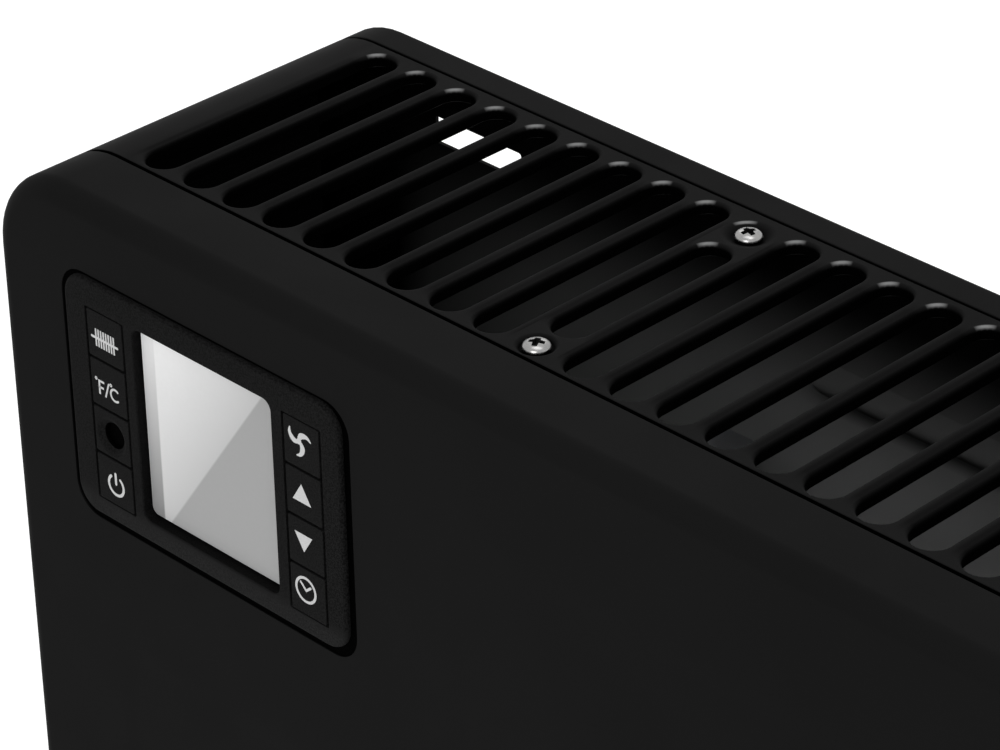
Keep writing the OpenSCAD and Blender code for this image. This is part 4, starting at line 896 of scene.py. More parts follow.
class Skin:
    """A piece's points, in millimetres, and faces, while it is being drawn."""

    def __init__(self) -> None:
        """Starts empty."""
        self.points: list[Point] = []
        self.faces: list[tuple[int, ...]] = []

    def loop(self, points: Iterable[Point]) -> list[int]:
        """Adds points.

        Args:
            points: the points.

        Returns:
            Their numbers.
        """
        start = len(self.points)
        self.points.extend(points)
        return list(range(start, len(self.points)))

    def at_depth(self, path: Iterable[Flat], y: float) -> list[int]:
        """Adds an outline seen from the front, at a depth, and returns its numbers."""
        return self.loop((x, y, z) for x, z in path)

    def at_height(self, path: Iterable[Flat], z: float) -> list[int]:
        """Adds an outline seen from above, at a height, and returns its numbers."""
        return self.loop((x, y, z) for x, y in path)

    def bridge(self, first: Sequence[int], second: Sequence[int], closed: bool = True) -> None:
        """Joins two loops of the same length with quads, wound from the first to the second.

        Args:
            first: the first loop's points.
            second: the second loop's points.
            closed: whether the loops' ends join too.
        """
        count = len(first)
        for i in range(count if closed else count - 1):
            j = (i + 1) % count
            self.faces.append((first[i], first[j], second[j], second[i]))

    def run(self, loops: Sequence[Sequence[int]], closed: bool = True) -> None:
        """Joins each loop to the next."""
        for first, second in zip(loops, loops[1:]):
            self.bridge(first, second, closed)

    def sink(self, loops: Sequence[Sequence[int]]) -> None:
        """Joins each loop to the next, wound for a hole's wall."""
        self.run([loop[::-1] for loop in loops])

    def fill(self, outer: Sequence[int], holes: Sequence[Sequence[int]] = (),
             lines: Sequence[Sequence[int]] = (), plane: str = "xz", flip: bool = False) -> None:
        """Fills a flat or gently formed sheet with triangles.

        Args:
            outer: the outer loop.
            holes: loops that stay open.
            lines: loops that the triangles follow.
            plane: the two axes that the sheet is seen in, wound counterclockwise.
            flip: whether the faces are wound the other way.
        """
        axes = ["xyz".index(letter) for letter in plane]
        numbers: list[int] = []
        edges: list[tuple[int, int]] = []
        for ring in (outer, *holes, *lines):
            start = len(numbers)
            numbers.extend(ring)
            edges += [(start + i, start + (i + 1) % len(ring)) for i in range(len(ring))]
        flat = [Vector([self.points[n][a] for a in axes]) for n in numbers]
        where, _, faces, origins, *_ = delaunay_2d_cdt(flat, edges, [], 0, FILL_REACH)
        shape, *gaps = ([tuple(self.points[n][a] for a in axes) for n in ring] for ring in (outer, *holes))
        for face in faces:
            middle = sum((where[i] for i in face), Vector((0.0, 0.0))) / len(face)
            spot = (middle.x, middle.y)
            if not inside(spot, shape) or any(inside(spot, gap) for gap in gaps):
                continue
            ids = tuple(numbers[origins[i][0]] for i in face)
            self.faces.append(ids[::-1] if flip else ids)

    def cap(self, ring: Sequence[int], flip: bool = False) -> None:
        """Closes a loop with one face."""
        self.faces.append(tuple(ring[::-1] if flip else ring))

    def bar(self, path: Sequence[Flat], ys: Flat) -> None:
        """Adds a closed bar along Y.

        Args:
            path: its outline, seen from the front.
            ys: its front and back.
        """
        rings = [self.at_depth(path, y) for y in (ys[1], ys[0])]
        self.run(rings)
        self.cap(rings[0], flip=True)
        self.cap(rings[1])

    def mesh(self, name: str) -> bpy.types.Mesh:
        """Makes the mesh in metres, with doubled points merged.

        Args:
            name: the mesh's name.

        Returns:
            The mesh.
        """
        mesh = bpy.data.meshes.new(name)
        mesh.from_pydata([tuple(c * MM for c in p) for p in self.points], [], self.faces)
        work = bmesh.new()
        work.from_mesh(mesh)
        bmesh.ops.remove_doubles(work, verts=work.verts, dist=MERGE_REACH)
        work.to_mesh(mesh)
        work.free()
        return mesh


class Workshop:
    """Turns skins into finished pieces that ride on the frame."""

    def __init__(self, finishes: Finishes) -> None:
        """Keeps the finishes.

        Args:
            finishes: the drawn finishes.
        """
        self.finishes = finishes

    def place(self, name: str, mesh: bpy.types.Mesh) -> bpy.types.Object:
        """Links a mesh into the scene.

        Args:
            name: the object's name.
            mesh: its mesh.

        Returns:
            The new object.
        """
        piece = bpy.data.objects.new(name, mesh)
        bpy.context.scene.collection.objects.link(piece)
        return piece

    def settle(self, piece: bpy.types.Object) -> None:
        """Turns a piece's modifiers into its plain mesh.

        Args:
            piece: the piece.
        """
        depsgraph = bpy.context.evaluated_depsgraph_get()
        mesh = bpy.data.meshes.new_from_object(piece.evaluated_get(depsgraph))
        piece.modifiers.clear()
        old = piece.data
        piece.data = mesh
        bpy.data.meshes.remove(old)
        mesh.name = piece.name

    def thicken(self, piece: bpy.types.Object, thickness: float) -> None:
        """Gives a sheet its thickness, inwards, with its inner side on the second material.

        Args:
            piece: the sheet.
            thickness: in millimetres.
        """
        for _ in range(2):
            piece.data.materials.append(None)
        shell = piece.modifiers.new("thickness", "SOLIDIFY")
        shell.thickness = thickness * MM
        shell.offset = -1.0
        shell.use_even_offset = True
        shell.material_offset = 1
        self.settle(piece)

    def bevel(self, piece: bpy.types.Object, width: float) -> None:
        """Rounds a piece's edges.

        Args:
            piece: the piece.
            width: in millimetres.
        """
        round_off = piece.modifiers.new("edges", "BEVEL")
        round_off.width = width * MM
        round_off.segments = 2
        round_off.limit_method = "ANGLE"
        round_off.angle_limit = math.radians(ROUND_ANGLE)
        round_off.use_clamp_overlap = True
        self.settle(piece)

    def crisp(self, piece: bpy.types.Object, angle: float = SHARP_ANGLE) -> None:
        """Shades a piece smooth, with its sharp edges kept and its flats flat.

        Args:
            piece: the piece.
            angle: the smallest angle between faces that stays sharp, in degrees.
        """
        piece.data.polygons.foreach_set("use_smooth", [True] * len(piece.data.polygons))
        piece.data.set_sharp_from_angle(angle=math.radians(angle))
        weights = piece.modifiers.new("normals", "WEIGHTED_NORMAL")
        weights.keep_sharp = True
        self.settle(piece)

    def hand_over(self, piece: bpy.types.Object, finish: Finish, body: str = ROOT,
                  stands_for: Sequence[str] = (), lining: Finish | None = None) -> None:
        """Gives a finished piece its finish and its place in the frame.

        Args:
            piece: the piece.
            finish: its finish.
            body: the body that it rides on.
            stands_for: the nodes that it replaces.
            lining: the finish of a sheet's inner side, if it has its own.
        """
        inner = [polygon.material_index for polygon in piece.data.polygons]
        piece.data.materials.clear()
        piece.data.materials.append(self.finishes.of(finish))
        if lining:
            piece.data.materials.append(self.finishes.of(lining))
        piece.data.polygons.foreach_set("material_index", inner if lining else [0] * len(inner))
        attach(piece, body)
        if stands_for:
            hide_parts(*stands_for)
        log.info("%s: %d faces on %s", piece.name, len(piece.data.polygons), body)

    def make(self, name: str, skin: Skin, finish: Finish, body: str = ROOT, stands_for: Sequence[str] = (),
             thickness: float = 0.0, angle: float = SHARP_ANGLE, lining: Finish | None = None) -> None:
        """Makes a piece from its skin.

        Args:
            name: the piece's name.
            skin: its points and faces.
            finish: its finish.
            body: the body that it rides on.
            stands_for: the nodes that it replaces.
            thickness: the sheet's thickness inwards, in millimetres, or 0 for a closed skin.
            angle: the smallest angle between faces that stays sharp, in degrees.
            lining: the finish of a sheet's inner side, if it has its own.
        """
        piece = self.place(name, skin.mesh(name))
        if thickness:
            self.thicken(piece, thickness)
        self.crisp(piece, angle)
        self.hand_over(piece, finish, body, stands_for, lining)

    def soften(self, frame: dict[str, Any], node: str, finish: Finish, width: float) -> None:
        """Replaces a node with a copy whose edges are rounded.

        Args:
            frame: the loaded frame.
            node: the node.
            finish: its finish.
            width: the round's width in millimetres.
        """
        mesh = frame["nodes"][node].data.copy()
        work = bmesh.new()
        work.from_mesh(mesh)
        bmesh.ops.remove_doubles(work, verts=work.verts, dist=NODE_MERGE_REACH)
        bmesh.ops.dissolve_limit(work, angle_limit=math.radians(FLAT_ANGLE), verts=work.verts,
                                 edges=work.edges)
        work.to_mesh(mesh)
        work.free()
        piece = self.place(node + "_formed", mesh)
        self.bevel(piece, width)
        self.crisp(piece)
        self.hand_over(piece, finish, stands_for=(node,))


class RowTree(NodeSheet):
    """A Geometry Nodes tree that repeats a piece along a row, with another in its place at set steps."""

    def __init__(self, name: str) -> None:
        """Draws the tree.

        Args:
            name: the tree's name.
        """
        super().__init__(bpy.data.node_groups.new(name, "GeometryNodeTree"))
        face = self.tree.interface
        face.new_socket("Geometry", in_out="INPUT", socket_type="NodeSocketGeometry")
        kinds = {"Count": "Int", "Start": "Vector", "Pitch": "Vector", "Piece": "Object",
                 "Step Piece": "Object", "Middle": "Int", "Step": "Int", "Finish": "Material"}
        self.sockets = {key: face.new_socket(key, in_out="INPUT", socket_type="NodeSocket" + kind)
                        for key, kind in kinds.items()}
        face.new_socket("Geometry", in_out="OUTPUT", socket_type="NodeSocketGeometry")
        given = self.node("NodeGroupInput").outputs
        along = {"Count": given["Count"], "Start Location": given["Start"], "Offset": given["Pitch"]}
        line = self.node("GeometryNodeMeshLine", along, mode="OFFSET").outputs[0]
        shift = self.math("SUBTRACT", self.node("GeometryNodeInputIndex").outputs[0], given["Middle"])
        wrap = self.math("FLOORED_MODULO", shift, given["Step"])
        at_step = self.node("FunctionNodeCompare", {0: wrap, 1: 0.5}, data_type="FLOAT",
                            operation="LESS_THAN")
        other = self.node("FunctionNodeBooleanMath", {0: at_step.outputs[0]}, operation="NOT")
        plain = self.stand(line, other.outputs[0], given["Piece"])
        step = self.stand(line, at_step.outputs[0], given["Step Piece"])
        join = self.node("GeometryNodeJoinGeometry")
        for source in (given["Geometry"], plain, step):
            self.feed(join.inputs[0], source)
        real = self.node("GeometryNodeRealizeInstances", {0: join.outputs[0]})
        merged = self.node("GeometryNodeMergeByDistance", {0: real.outputs[0], "Distance": MERGE_REACH})
        dressed = self.node("GeometryNodeSetMaterial", {0: merged.outputs[0], "Material": given["Finish"]})
        self.node("NodeGroupOutput", {0: dressed.outputs[0]})

    def stand(self, line: Socket, chosen: Socket, piece: Socket) -> Socket:
        """Stands a piece on the chosen points of the line.

        Args:
            line: the row's points.
            chosen: which of them.
            piece: the object to stand there.

        Returns:
            The instances.
        """
        source = self.node("GeometryNodeObjectInfo", {"Object": piece})
        inputs = {"Points": line, "Selection": chosen, "Instance": source.outputs["Geometry"]}
        return self.node("GeometryNodeInstanceOnPoints", inputs).outputs[0]

    def repeat(self, workshop: Workshop, base: bpy.types.Object, finish: Finish, cell: bpy.types.Object,
               count: int, start: Point, pitch: float, step_cell: bpy.types.Object | None = None,
               step: int = 0) -> None:
        """Runs the tree on a base piece and turns the result into its plain mesh.

        Args:
            workshop: the workshop.
            base: the object that takes the row.
            finish: the row's finish.
            cell: the repeated piece.
            count: how many.
            start: the first one's place, in millimetres.
            pitch: the way from each to the next, along X.
            step_cell: what stands in the middle of the row and at the steps from it, if it differs.
            step: the number of places from step to step.
        """
        row = base.modifiers.new("row", "NODES")
        row.node_group = self.tree
        values = {"Count": count, "Start": [c * MM for c in start], "Pitch": [pitch * MM, 0.0, 0.0],
                  "Piece": cell, "Step Piece": step_cell, "Middle": (count - 1) // 2 if step_cell else -1,
                  "Step": step or count + 2, "Finish": workshop.finishes.of(finish)}
        for key, value in values.items():
            if value is not None:
                row[self.sockets[key].identifier] = value
        workshop.settle(base)
        for used in (cell, step_cell):
            if used is not None:
                bpy.data.objects.remove(used)


# The casing


@dataclass
class Casing:
    """The sizes and the outline that the casing's three sheets share.

    edge is the softening of a cut edge, and edge_share says where its middle point lies.
    """

    x_side: float = 317.0
    z0: float = 42.0
    z1: float = 427.0
    corner_r: float = 22.0
    corner_steps: int = 12
    sheet: float = 1.0
    y_front: float = -53.75
    y_seam_front: float = -34.25
    y_seam_rear: float = 44.25
    y_back: float = 53.75
    seam: float = 0.9
    edge: float = 0.25
    edge_share: float = 0.3

    def outline(self, inset: float = 0.0) -> list[Flat]:
        """Returns the casing's outline, seen from the front."""
        corners = box_corners(-self.x_side, self.x_side, self.z0, self.z1)
        return rounded(corners, self.corner_r, inset, self.corner_steps)

    def wrap_ys(self) -> Flat:
        """Returns the wrap's front and rear edges, beside the seams."""
        return self.y_seam_front + self.seam / 2, self.y_seam_rear - self.seam / 2

    def pan(self, skin: Skin, y_seam: float, y_face: float, bend_r: float) -> list[list[int]]:
        """Adds the loops of a cover's side, from its edge at the seam round to its face.

        Args:
            skin: the cover's skin.
            y_seam: the middle of the seam.
            y_face: the cover's face.
            bend_r: the radius between the side and the face.

        Returns:
            The loops.
        """
        out = math.copysign(1.0, y_face - y_seam)
        y_end = y_seam + out * self.seam / 2
        soft = self.edge * self.edge_share
        steps = [(self.edge, y_end), (soft, y_end + out * soft), (0.0, y_end + out * self.edge)]
        steps += [(inset, y_face - out * depth) for inset, depth in quarter_round(bend_r, CORNER_STEPS)]
        return [skin.at_depth(self.outline(inset), y) for inset, y in steps]


@dataclass
class FrontCover:
    """The front pressing: a soft bend, a shallow field that steps round the panel, and its window."""

    casing: Casing
    bend_r: float = 5.0
    field_corners: tuple[Flat, ...] = ((-280.0, 76.0), (280.0, 76.0), (280.0, 392.0), (-169.2, 392.0),
                                       (-169.2, 311.0), (-280.0, 311.0))
    field_r: float = 9.0
    field_depth: float = 0.14
    field_slope: float = 7.0
    field_steps: int = 8
    window: Span = (-293.4, -199.6, 344.5, 409.0)
    window_r: float = 7.4

    def skin(self) -> Skin:
        """Draws the pressing as one sheet, its outer side outwards.

        Returns:
            The skin.
        """
        skin = Skin()
        y_face = self.casing.y_front
        loops = self.casing.pan(skin, self.casing.y_seam_front, y_face, self.bend_r)
        skin.run(loops)
        lines = []
        for k in range(self.field_steps + 1):
            share = k / self.field_steps
            path = rounded(self.field_corners, self.field_r, self.field_slope * (share - 0.5))
            lines.append(skin.at_depth(path, y_face + self.field_depth * smooth_step(share)))
        window = skin.at_depth(rounded(box_corners(*self.window), self.window_r), y_face)
        skin.fill(loops[-1], [window], lines)
        return skin

    def build(self, workshop: Workshop) -> None:
        """Makes the cover in place of its node.

        Args:
            workshop: the workshop.
        """
        workshop.make("front_pressing", self.skin(), PAINT, stands_for=("front_cover",),
                      thickness=self.casing.sheet, angle=SHEET_ANGLE)


@dataclass
class RearCover:
    """The rear pan, with its hanging slots, a bead across the top, louvres and the cord's hole.

    hang and louvre hold a middle's X and Z, a width and a height, bead its ends along X and Z, and
    inlet its middle and radius.
    """

    casing: Casing
    bend_r: float = 2.4
    hang: Span = (269.5, 405.0, 28.5, 7.0)
    hang_r: float = 0.8
    bead: Span = (-166.0, 166.0, 382.5, 391.5)
    bead_depth: float = 3.0
    bead_slope: float = 4.2
    bead_flat: float = 0.1
    bead_steps: int = 6
    louvre: Span = (167.0, 76.0, 4.0, 22.0)
    louvre_r: float = 1.8
    louvre_count: int = 12
    louvre_pitch: float = 9.0
    inlet: Point = (271.0, 82.0, 6.2)
    hole_steps: int = 4

    def holes(self) -> list[list[Flat]]:
        """Draws the openings' outlines.

        Returns:
            The cord's hole, then each side's hanging slot and louvres.
        """
        holes = [circle(*self.inlet)]
        for side in (-1, 1):
            x, z, width, height = self.hang
            holes.append(rounded(box_at(side * x, z, width, height), self.hang_r, steps=self.hole_steps))
            x, z, width, height = self.louvre
            for k in range(self.louvre_count):
                shift = (k - (self.louvre_count - 1) / 2) * self.louvre_pitch
                louvre = box_at(side * x + shift, z, width, height)
                holes.append(rounded(louvre, self.louvre_r, steps=self.hole_steps))
        return holes

    def skin(self) -> Skin:
        """Draws the pan as one sheet, its outer side outwards.

        Returns:
            The skin.
        """
        skin = Skin()
        y_face = self.casing.y_back
        loops = self.casing.pan(skin, self.casing.y_seam_rear, y_face, self.bend_r)
        skin.sink(loops)
        corners, radius = box_corners(*self.bead), (self.bead[3] - self.bead[2] - self.bead_flat) / 2
        lines = []
        for k in range(self.bead_steps + 1):
            share = k / self.bead_steps
            path = rounded(corners, radius, self.bead_slope * share)
            lines.append(skin.at_depth(path, y_face - self.bead_depth * smooth_step(share)))
        skin.fill(loops[-1], [skin.at_depth(hole, y_face) for hole in self.holes()], lines, flip=True)
        return skin

    def build(self, workshop: Workshop) -> None:
        """Makes the cover in place of its node.

        Args:
            workshop: the workshop.
        """
        workshop.make("rear_pan", self.skin(), PAINT, stands_for=("rear_cover",), thickness=self.casing.sheet,
                      angle=SHEET_ANGLE, lining=LINING_WITH_SHADE)


@dataclass
class CoverFittings:
    """What the covers carry inside: tabs for the grille's screws, and the power board's standoffs."""

    row: SlotRow
    tab_width: float = 13.4
    tab_z: Flat = (424.0, 425.0)
    front_y: Flat = (-43.75, -22.65)
    rear_y: Flat = (29.45, 49.75)
    root_z: float = 426.5
    sheet: float = 1.0
    board: Flat = (-241.0, 192.0)
    board_reach: Flat = (40.0, 29.0)
    standoff_r: float = 3.0
    standoff_y: Flat = (44.75, 53.25)

    def tabs(self, ys: Flat, root: float) -> Skin:
        """Draws one cover's three tabs.

        Args:
            ys: the tabs' front and rear ends.
            root: the front of the upright that joins them to the cover.

        Returns:
            The skin.
        """
        skin = Skin()
        low, high = self.tab_z
        for k in (-1, 0, 1):
            x0 = k * self.row.screw_pitch - self.tab_width / 2
            skin.bar(box_corners(x0, x0 + self.tab_width, low, high), ys)
            skin.bar(box_corners(x0, x0 + self.tab_width, high, self.root_z), (root, root + self.sheet))
        return skin

    def build(self, workshop: Workshop) -> None:
        """Makes the tabs and the standoffs.

        Args:
            workshop: the workshop.
        """
        workshop.make("front_tabs", self.tabs(self.front_y, self.front_y[0]), PAINT)
        workshop.make("rear_tabs", self.tabs(self.rear_y, self.rear_y[1] - self.sheet), PAINT)
        standoffs = Skin()
        for x, z in box_at(*self.board, 2 * self.board_reach[0], 2 * self.board_reach[1]):
            standoffs.bar(circle(x, z, self.standoff_r), self.standoff_y)
        workshop.make("board_standoffs", standoffs, STEEL)


@dataclass
class Wrap:
    """The bent wrap with the top grille, whose slots have lips rolled down round their whole edge."""

    casing: Casing
    row: SlotRow
    mouth_x: float = 275.0
    lip_h: float = 3.0
    lip_edge: float = 0.2
    lip_foot: float = 0.1
    lip_steps: int = 6
    end_steps: int = 12
    dimple: tuple[Flat, ...] = ((1.0, 0.0), (0.87, -0.03), (0.72, -0.12), (0.55, -0.3), (0.38, -0.5),
                                (0.22, -0.7), (0.1, -0.84), (0.0, -0.9), (-0.9, -0.9))
    dimple_foot: float = 3.45
    dimple_out: Flat = (4.8, 6.3)
    lips: Flat = (8.25, 4.25)
    tuck: float = 0.3

    def stadium(self, ys: Flat, half: float) -> list[Flat]:
        """Returns a slot's outline at a distance from its centre line.

        Args:
            ys: where the slot's outer outline starts and ends.
            half: the distance from the centre line.

        Returns:
            The points, counterclockwise.
        """
        out = self.row.end_r
        points = []
        for y, turn in ((ys[1] - out, 0.0), (ys[0] + out, math.pi)):
            for k in range(self.end_steps + 1):
                angle = turn + math.pi * k / self.end_steps
                points.append((half * math.cos(angle), y + half * math.sin(angle)))
        return points

    def lip(self, skin: Skin, ys: Flat) -> list[list[int]]:
        """Adds the loops of a slot's lip, from the top face round to the under face.

        Args:
            skin: the cell's skin.
            ys: where the slot starts and ends.

        Returns:
            The loops.
        """
        sheet, edge, foot = self.casing.sheet, self.lip_edge, self.lip_foot
        half, r = self.row.slot_hw, self.row.lip_r
        turns = [math.pi / 2 * k / self.lip_steps for k in range(self.lip_steps + 1)]
        section = [(self.row.end_r - r * math.sin(t), -r * (1 - math.cos(t))) for t in turns]
        section += [(half, -self.lip_h + edge), (half + edge, -self.lip_h), (half + sheet, -self.lip_h)]
        outer = half + sheet + foot
        section += [(outer - foot * math.cos(t), foot * (math.sin(t) - 1.0) - sheet)
                    for t in (0.0, math.pi / 4, math.pi / 2)]
        return [skin.at_height(self.stadium(ys, wide), self.casing.z1 + dz) for wide, dz in section]

    def dimple_rings(self, skin: Skin, y: float, wide: float) -> list[list[int]]:
        """Adds the loops of a screw's dimple, from its edge down to its floor.

        Args:
            skin: the cell's skin.
            y: the screw's place.
            wide: the dimple's outer radius.

        Returns:
            The loops.
        """
        foot = self.dimple_foot
        return [skin.at_height(circle(0.0, y, foot + share * (wide - foot)), self.casing.z1 + dz)
                for share, dz in self.dimple]

    def cell(self, name: str, ys: Flat, screws: bool, workshop: Workshop) -> bpy.types.Object:
        """Draws one slot with its share of the sheet around it.

        Args:
            name: the cell's name.
            ys: where the slot starts and ends.
            screws: whether it has the two screws' dimples.
            workshop: the workshop.

        Returns:
            The cell as an object at the middle of the row.
        """
        skin = Skin()
        c = self.casing
        y0, y1 = c.wrap_ys()
        half = self.row.pitch / 2
        loops = self.lip(skin, ys)
        skin.sink(loops)
        top = skin.at_height(box_corners(-half, half, y0 + c.edge, y1 - c.edge), c.z1)
        holes = [loops[0]]
        if screws:
            for y, wide in zip(self.row.screw_y, self.dimple_out):
                rings = self.dimple_rings(skin, y, wide)
                skin.sink(rings)
                skin.cap(rings[-1])
                holes.append(rings[0])
        skin.fill(top, holes, plane="xy")
        under = skin.at_height(box_corners(-half, half, y0 + self.tuck, y1 - self.tuck), c.z1 - c.sheet)
        skin.fill(under, [loops[-1]], plane="xy", flip=True)
        return workshop.place(name, skin.mesh(name))

    def strips(self) -> tuple[list[Flat], list[Flat]]:
        """Draws the sections of the sheet's front and rear edges, with the stepped lips under the covers.

        Returns:
            Each edge's places along Y and depths under the outer face.
        """
        y0, y1 = self.casing.wrap_ys()
        e, s, soft = self.casing.edge, self.casing.sheet, self.casing.edge_share
        front = [(y0 + self.tuck, s), (y0 + self.tuck, 2 * s), (y0 - self.lips[0], 2 * s),
                 (y0 - self.lips[0], s), (y0, s), (y0, e), (y0 + soft * e, soft * e), (y0 + e, 0.0)]
        rear = [(y1 - e, 0.0), (y1 - soft * e, soft * e), (y1, e), (y1, s), (y1 + self.lips[1], s),
                (y1 + self.lips[1], 2 * s), (y1 - self.tuck, 2 * s), (y1 - self.tuck, s)]
        return front, rear

    def sides(self) -> Skin:
        """Draws the sides, the bends and the edges along the grille.

        Returns:
            The skin, open where the grille's cells join it.
        """
        skin = Skin()
        c = self.casing
        front, rear = self.strips()
        corner = c.corner_steps + 1
        path = [(self.mouth_x, c.z0)] + c.outline()[corner:3 * corner] + [(self.row.reach, c.z1)]
        last = len(path) - 1
        for side in (-1, 1):
            stations = []
            for i, (x, z) in enumerate(path):
                along = (Vector(path[min(i + 1, last)]) - Vector(path[max(i - 1, 0)])).normalized()
                if i in (0, last):
                    along = Vector((1.0 if i == 0 else -1.0, 0.0))
                inward = Vector((-along.y, along.x))
                stations.append(skin.loop((side * (x + inward.x * d), y, z + inward.y * d)
                                          for y, d in front + rear))
            if side < 0:
                stations = stations[::-1]
            skin.run(stations)
            skin.cap(stations[0 if side > 0 else -1], flip=side < 0)
        for strip in (front, rear):
            ends = [skin.loop((side * self.row.reach, y, c.z1 - d) for y, d in strip) for side in (1, -1)]
            skin.run(ends, closed=False)
        return skin

    def build(self, workshop: Workshop, rows: RowTree) -> None:
        """Makes the wrap in place of its node.

        Args:
            workshop: the workshop.
            rows: the tree that repeats the slots.
        """
        piece = workshop.place("grille_wrap", self.sides().mesh("grille_wrap"))
        plain = self.cell("slot_cell", self.row.slot_y, False, workshop)
        stepped = self.cell("screw_cell", self.row.screw_slot_y, True, workshop)
        start = (self.row.pitch / 2 - self.row.reach, 0.0, 0.0)
        rows.repeat(workshop, piece, GRILLE, plain, self.row.slots, start, self.row.pitch, stepped,
                    self.row.screw_step)
        workshop.crisp(piece, SHEET_ANGLE)
        workshop.hand_over(piece, GRILLE, stands_for=("casing_wrap",))


@dataclass
class GrilleScrews:
    """The pan-head screws with crossed recesses, in two rows on the grille."""

    row: SlotRow
    head: tuple[Flat, ...] = ((2.7, -0.02), (2.7, 0.2), (3.02, 0.26), (3.12, 0.42), (3.08, 0.68),
                              (2.94, 0.96), (2.68, 1.24), (2.32, 1.46), (1.95, 1.6))
    head_steps: int = 36
    top: float = 1.9
    arm: float = 1.7
    arm_hw: float = 0.54
    arm_taper: float = 0.6
    root: float = 1.25
    recess: float = 1.15
    recess_levels: tuple[Flat, ...] = ((1.06, 0.0), (1.0, 0.1), (0.72, 0.7), (0.3, 1.0))
    seat_z: float = 426.1
    turns: Flat = (28.0, -14.0)
    angle: float = 38.0

    def height(self, r: float) -> float:
        """Returns the dome's height at a distance from its axis."""
        edge = self.head[-1]
        return self.top - (self.top - edge[1]) * (r / edge[0]) ** 2

    def cross(self, size: float) -> list[Flat]:
        """Draws the recess's outline.

        Args:
            size: its share of the full size.

        Returns:
            The outline's points.
        """
        reach, half = self.arm * size, self.arm_hw * (1.0 - self.arm_taper + self.arm_taper * size)
        quarter = [(reach, -half), (reach, half), (half * self.root, half * self.root)]
        return [point for k in range(4) for point in turned(quarter, math.pi / 2 * k)]

    def cells(self, workshop: Workshop, turn: float) -> tuple[bpy.types.Object, bpy.types.Object]:
        """Draws one screw's head and its recess.

        Args:
            workshop: the workshop.
            turn: how far the recess is turned, in degrees.

        Returns:
            The head and the recess, as objects at the origin.
        """
        head, recess = Skin(), Skin()
        rings = [head.at_height(circle(0.0, 0.0, r, self.head_steps), z) for r, z in self.head]
        head.run(rings)
        head.cap(rings[0], flip=True)
        levels: list[list[Point]] = []
        for size, depth in self.recess_levels:
            path = turned(self.cross(size), math.radians(turn))
            levels.append([(x, y, self.height(math.hypot(x, y)) - depth * self.recess) for x, y in path])
        edge = [head.loop(level) for level in levels[:2]]
        head.fill(rings[-1], [edge[0]], plane="xy")
        head.sink(edge)
        deep = [recess.loop(level) for level in levels[1:]]
        recess.sink(deep)
        recess.cap(deep[-1])
        return (workshop.place("head_cell", head.mesh("head_cell")),
                workshop.place("recess_cell", recess.mesh("recess_cell")))

    def build(self, workshop: Workshop, rows: RowTree) -> None:
        """Makes both rows in place of their nodes.

        Args:
            workshop: the workshop.
            rows: the tree that repeats the screws.
        """
        for name, y, first, turn in zip(("front", "rear"), self.row.screw_y, (1, 4), self.turns):
            nodes = [f"grille_screw_{first + k}" for k in range(3)]
            # The recesses take the near-black steel: painted shade
            for kind, cell, finish, stands_for in zip(("screws", "recesses"), self.cells(workshop, turn),
                                                      (SCREW, SHADED_RECESS), (nodes, ())):
                piece = workshop.place(f"grille_{kind}_{name}", bpy.data.meshes.new(kind))
                start = (-self.row.screw_pitch, y, self.seat_z)
                rows.repeat(workshop, piece, finish, cell, 3, start, self.row.screw_pitch)
                workshop.crisp(piece, self.angle)
                workshop.hand_over(piece, finish, stands_for=stands_for)


# The control panel


class KeySign(Enum):
    """The keys and their places: the row's side, and the place from the top."""

    HEAT = (0, 0)
    UNIT = (0, 1)
    POWER = (0, 3)
    FAN = (1, 0)
    UP = (1, 1)
    DOWN = (1, 2)
    TIMER = (1, 3)


# How far each sign stands from the middle of its key, to the right and up
SIGN_SHIFTS = {KeySign.HEAT: (-0.15, -0.6), KeySign.UNIT: (-0.1, -0.8), KeySign.POWER: (0.1, -0.35),
               KeySign.FAN: (-0.65, 0.85), KeySign.UP: (-0.65, 0.2), KeySign.DOWN: (-0.7, 0.15),
               KeySign.TIMER: (-0.75, 0.55)}


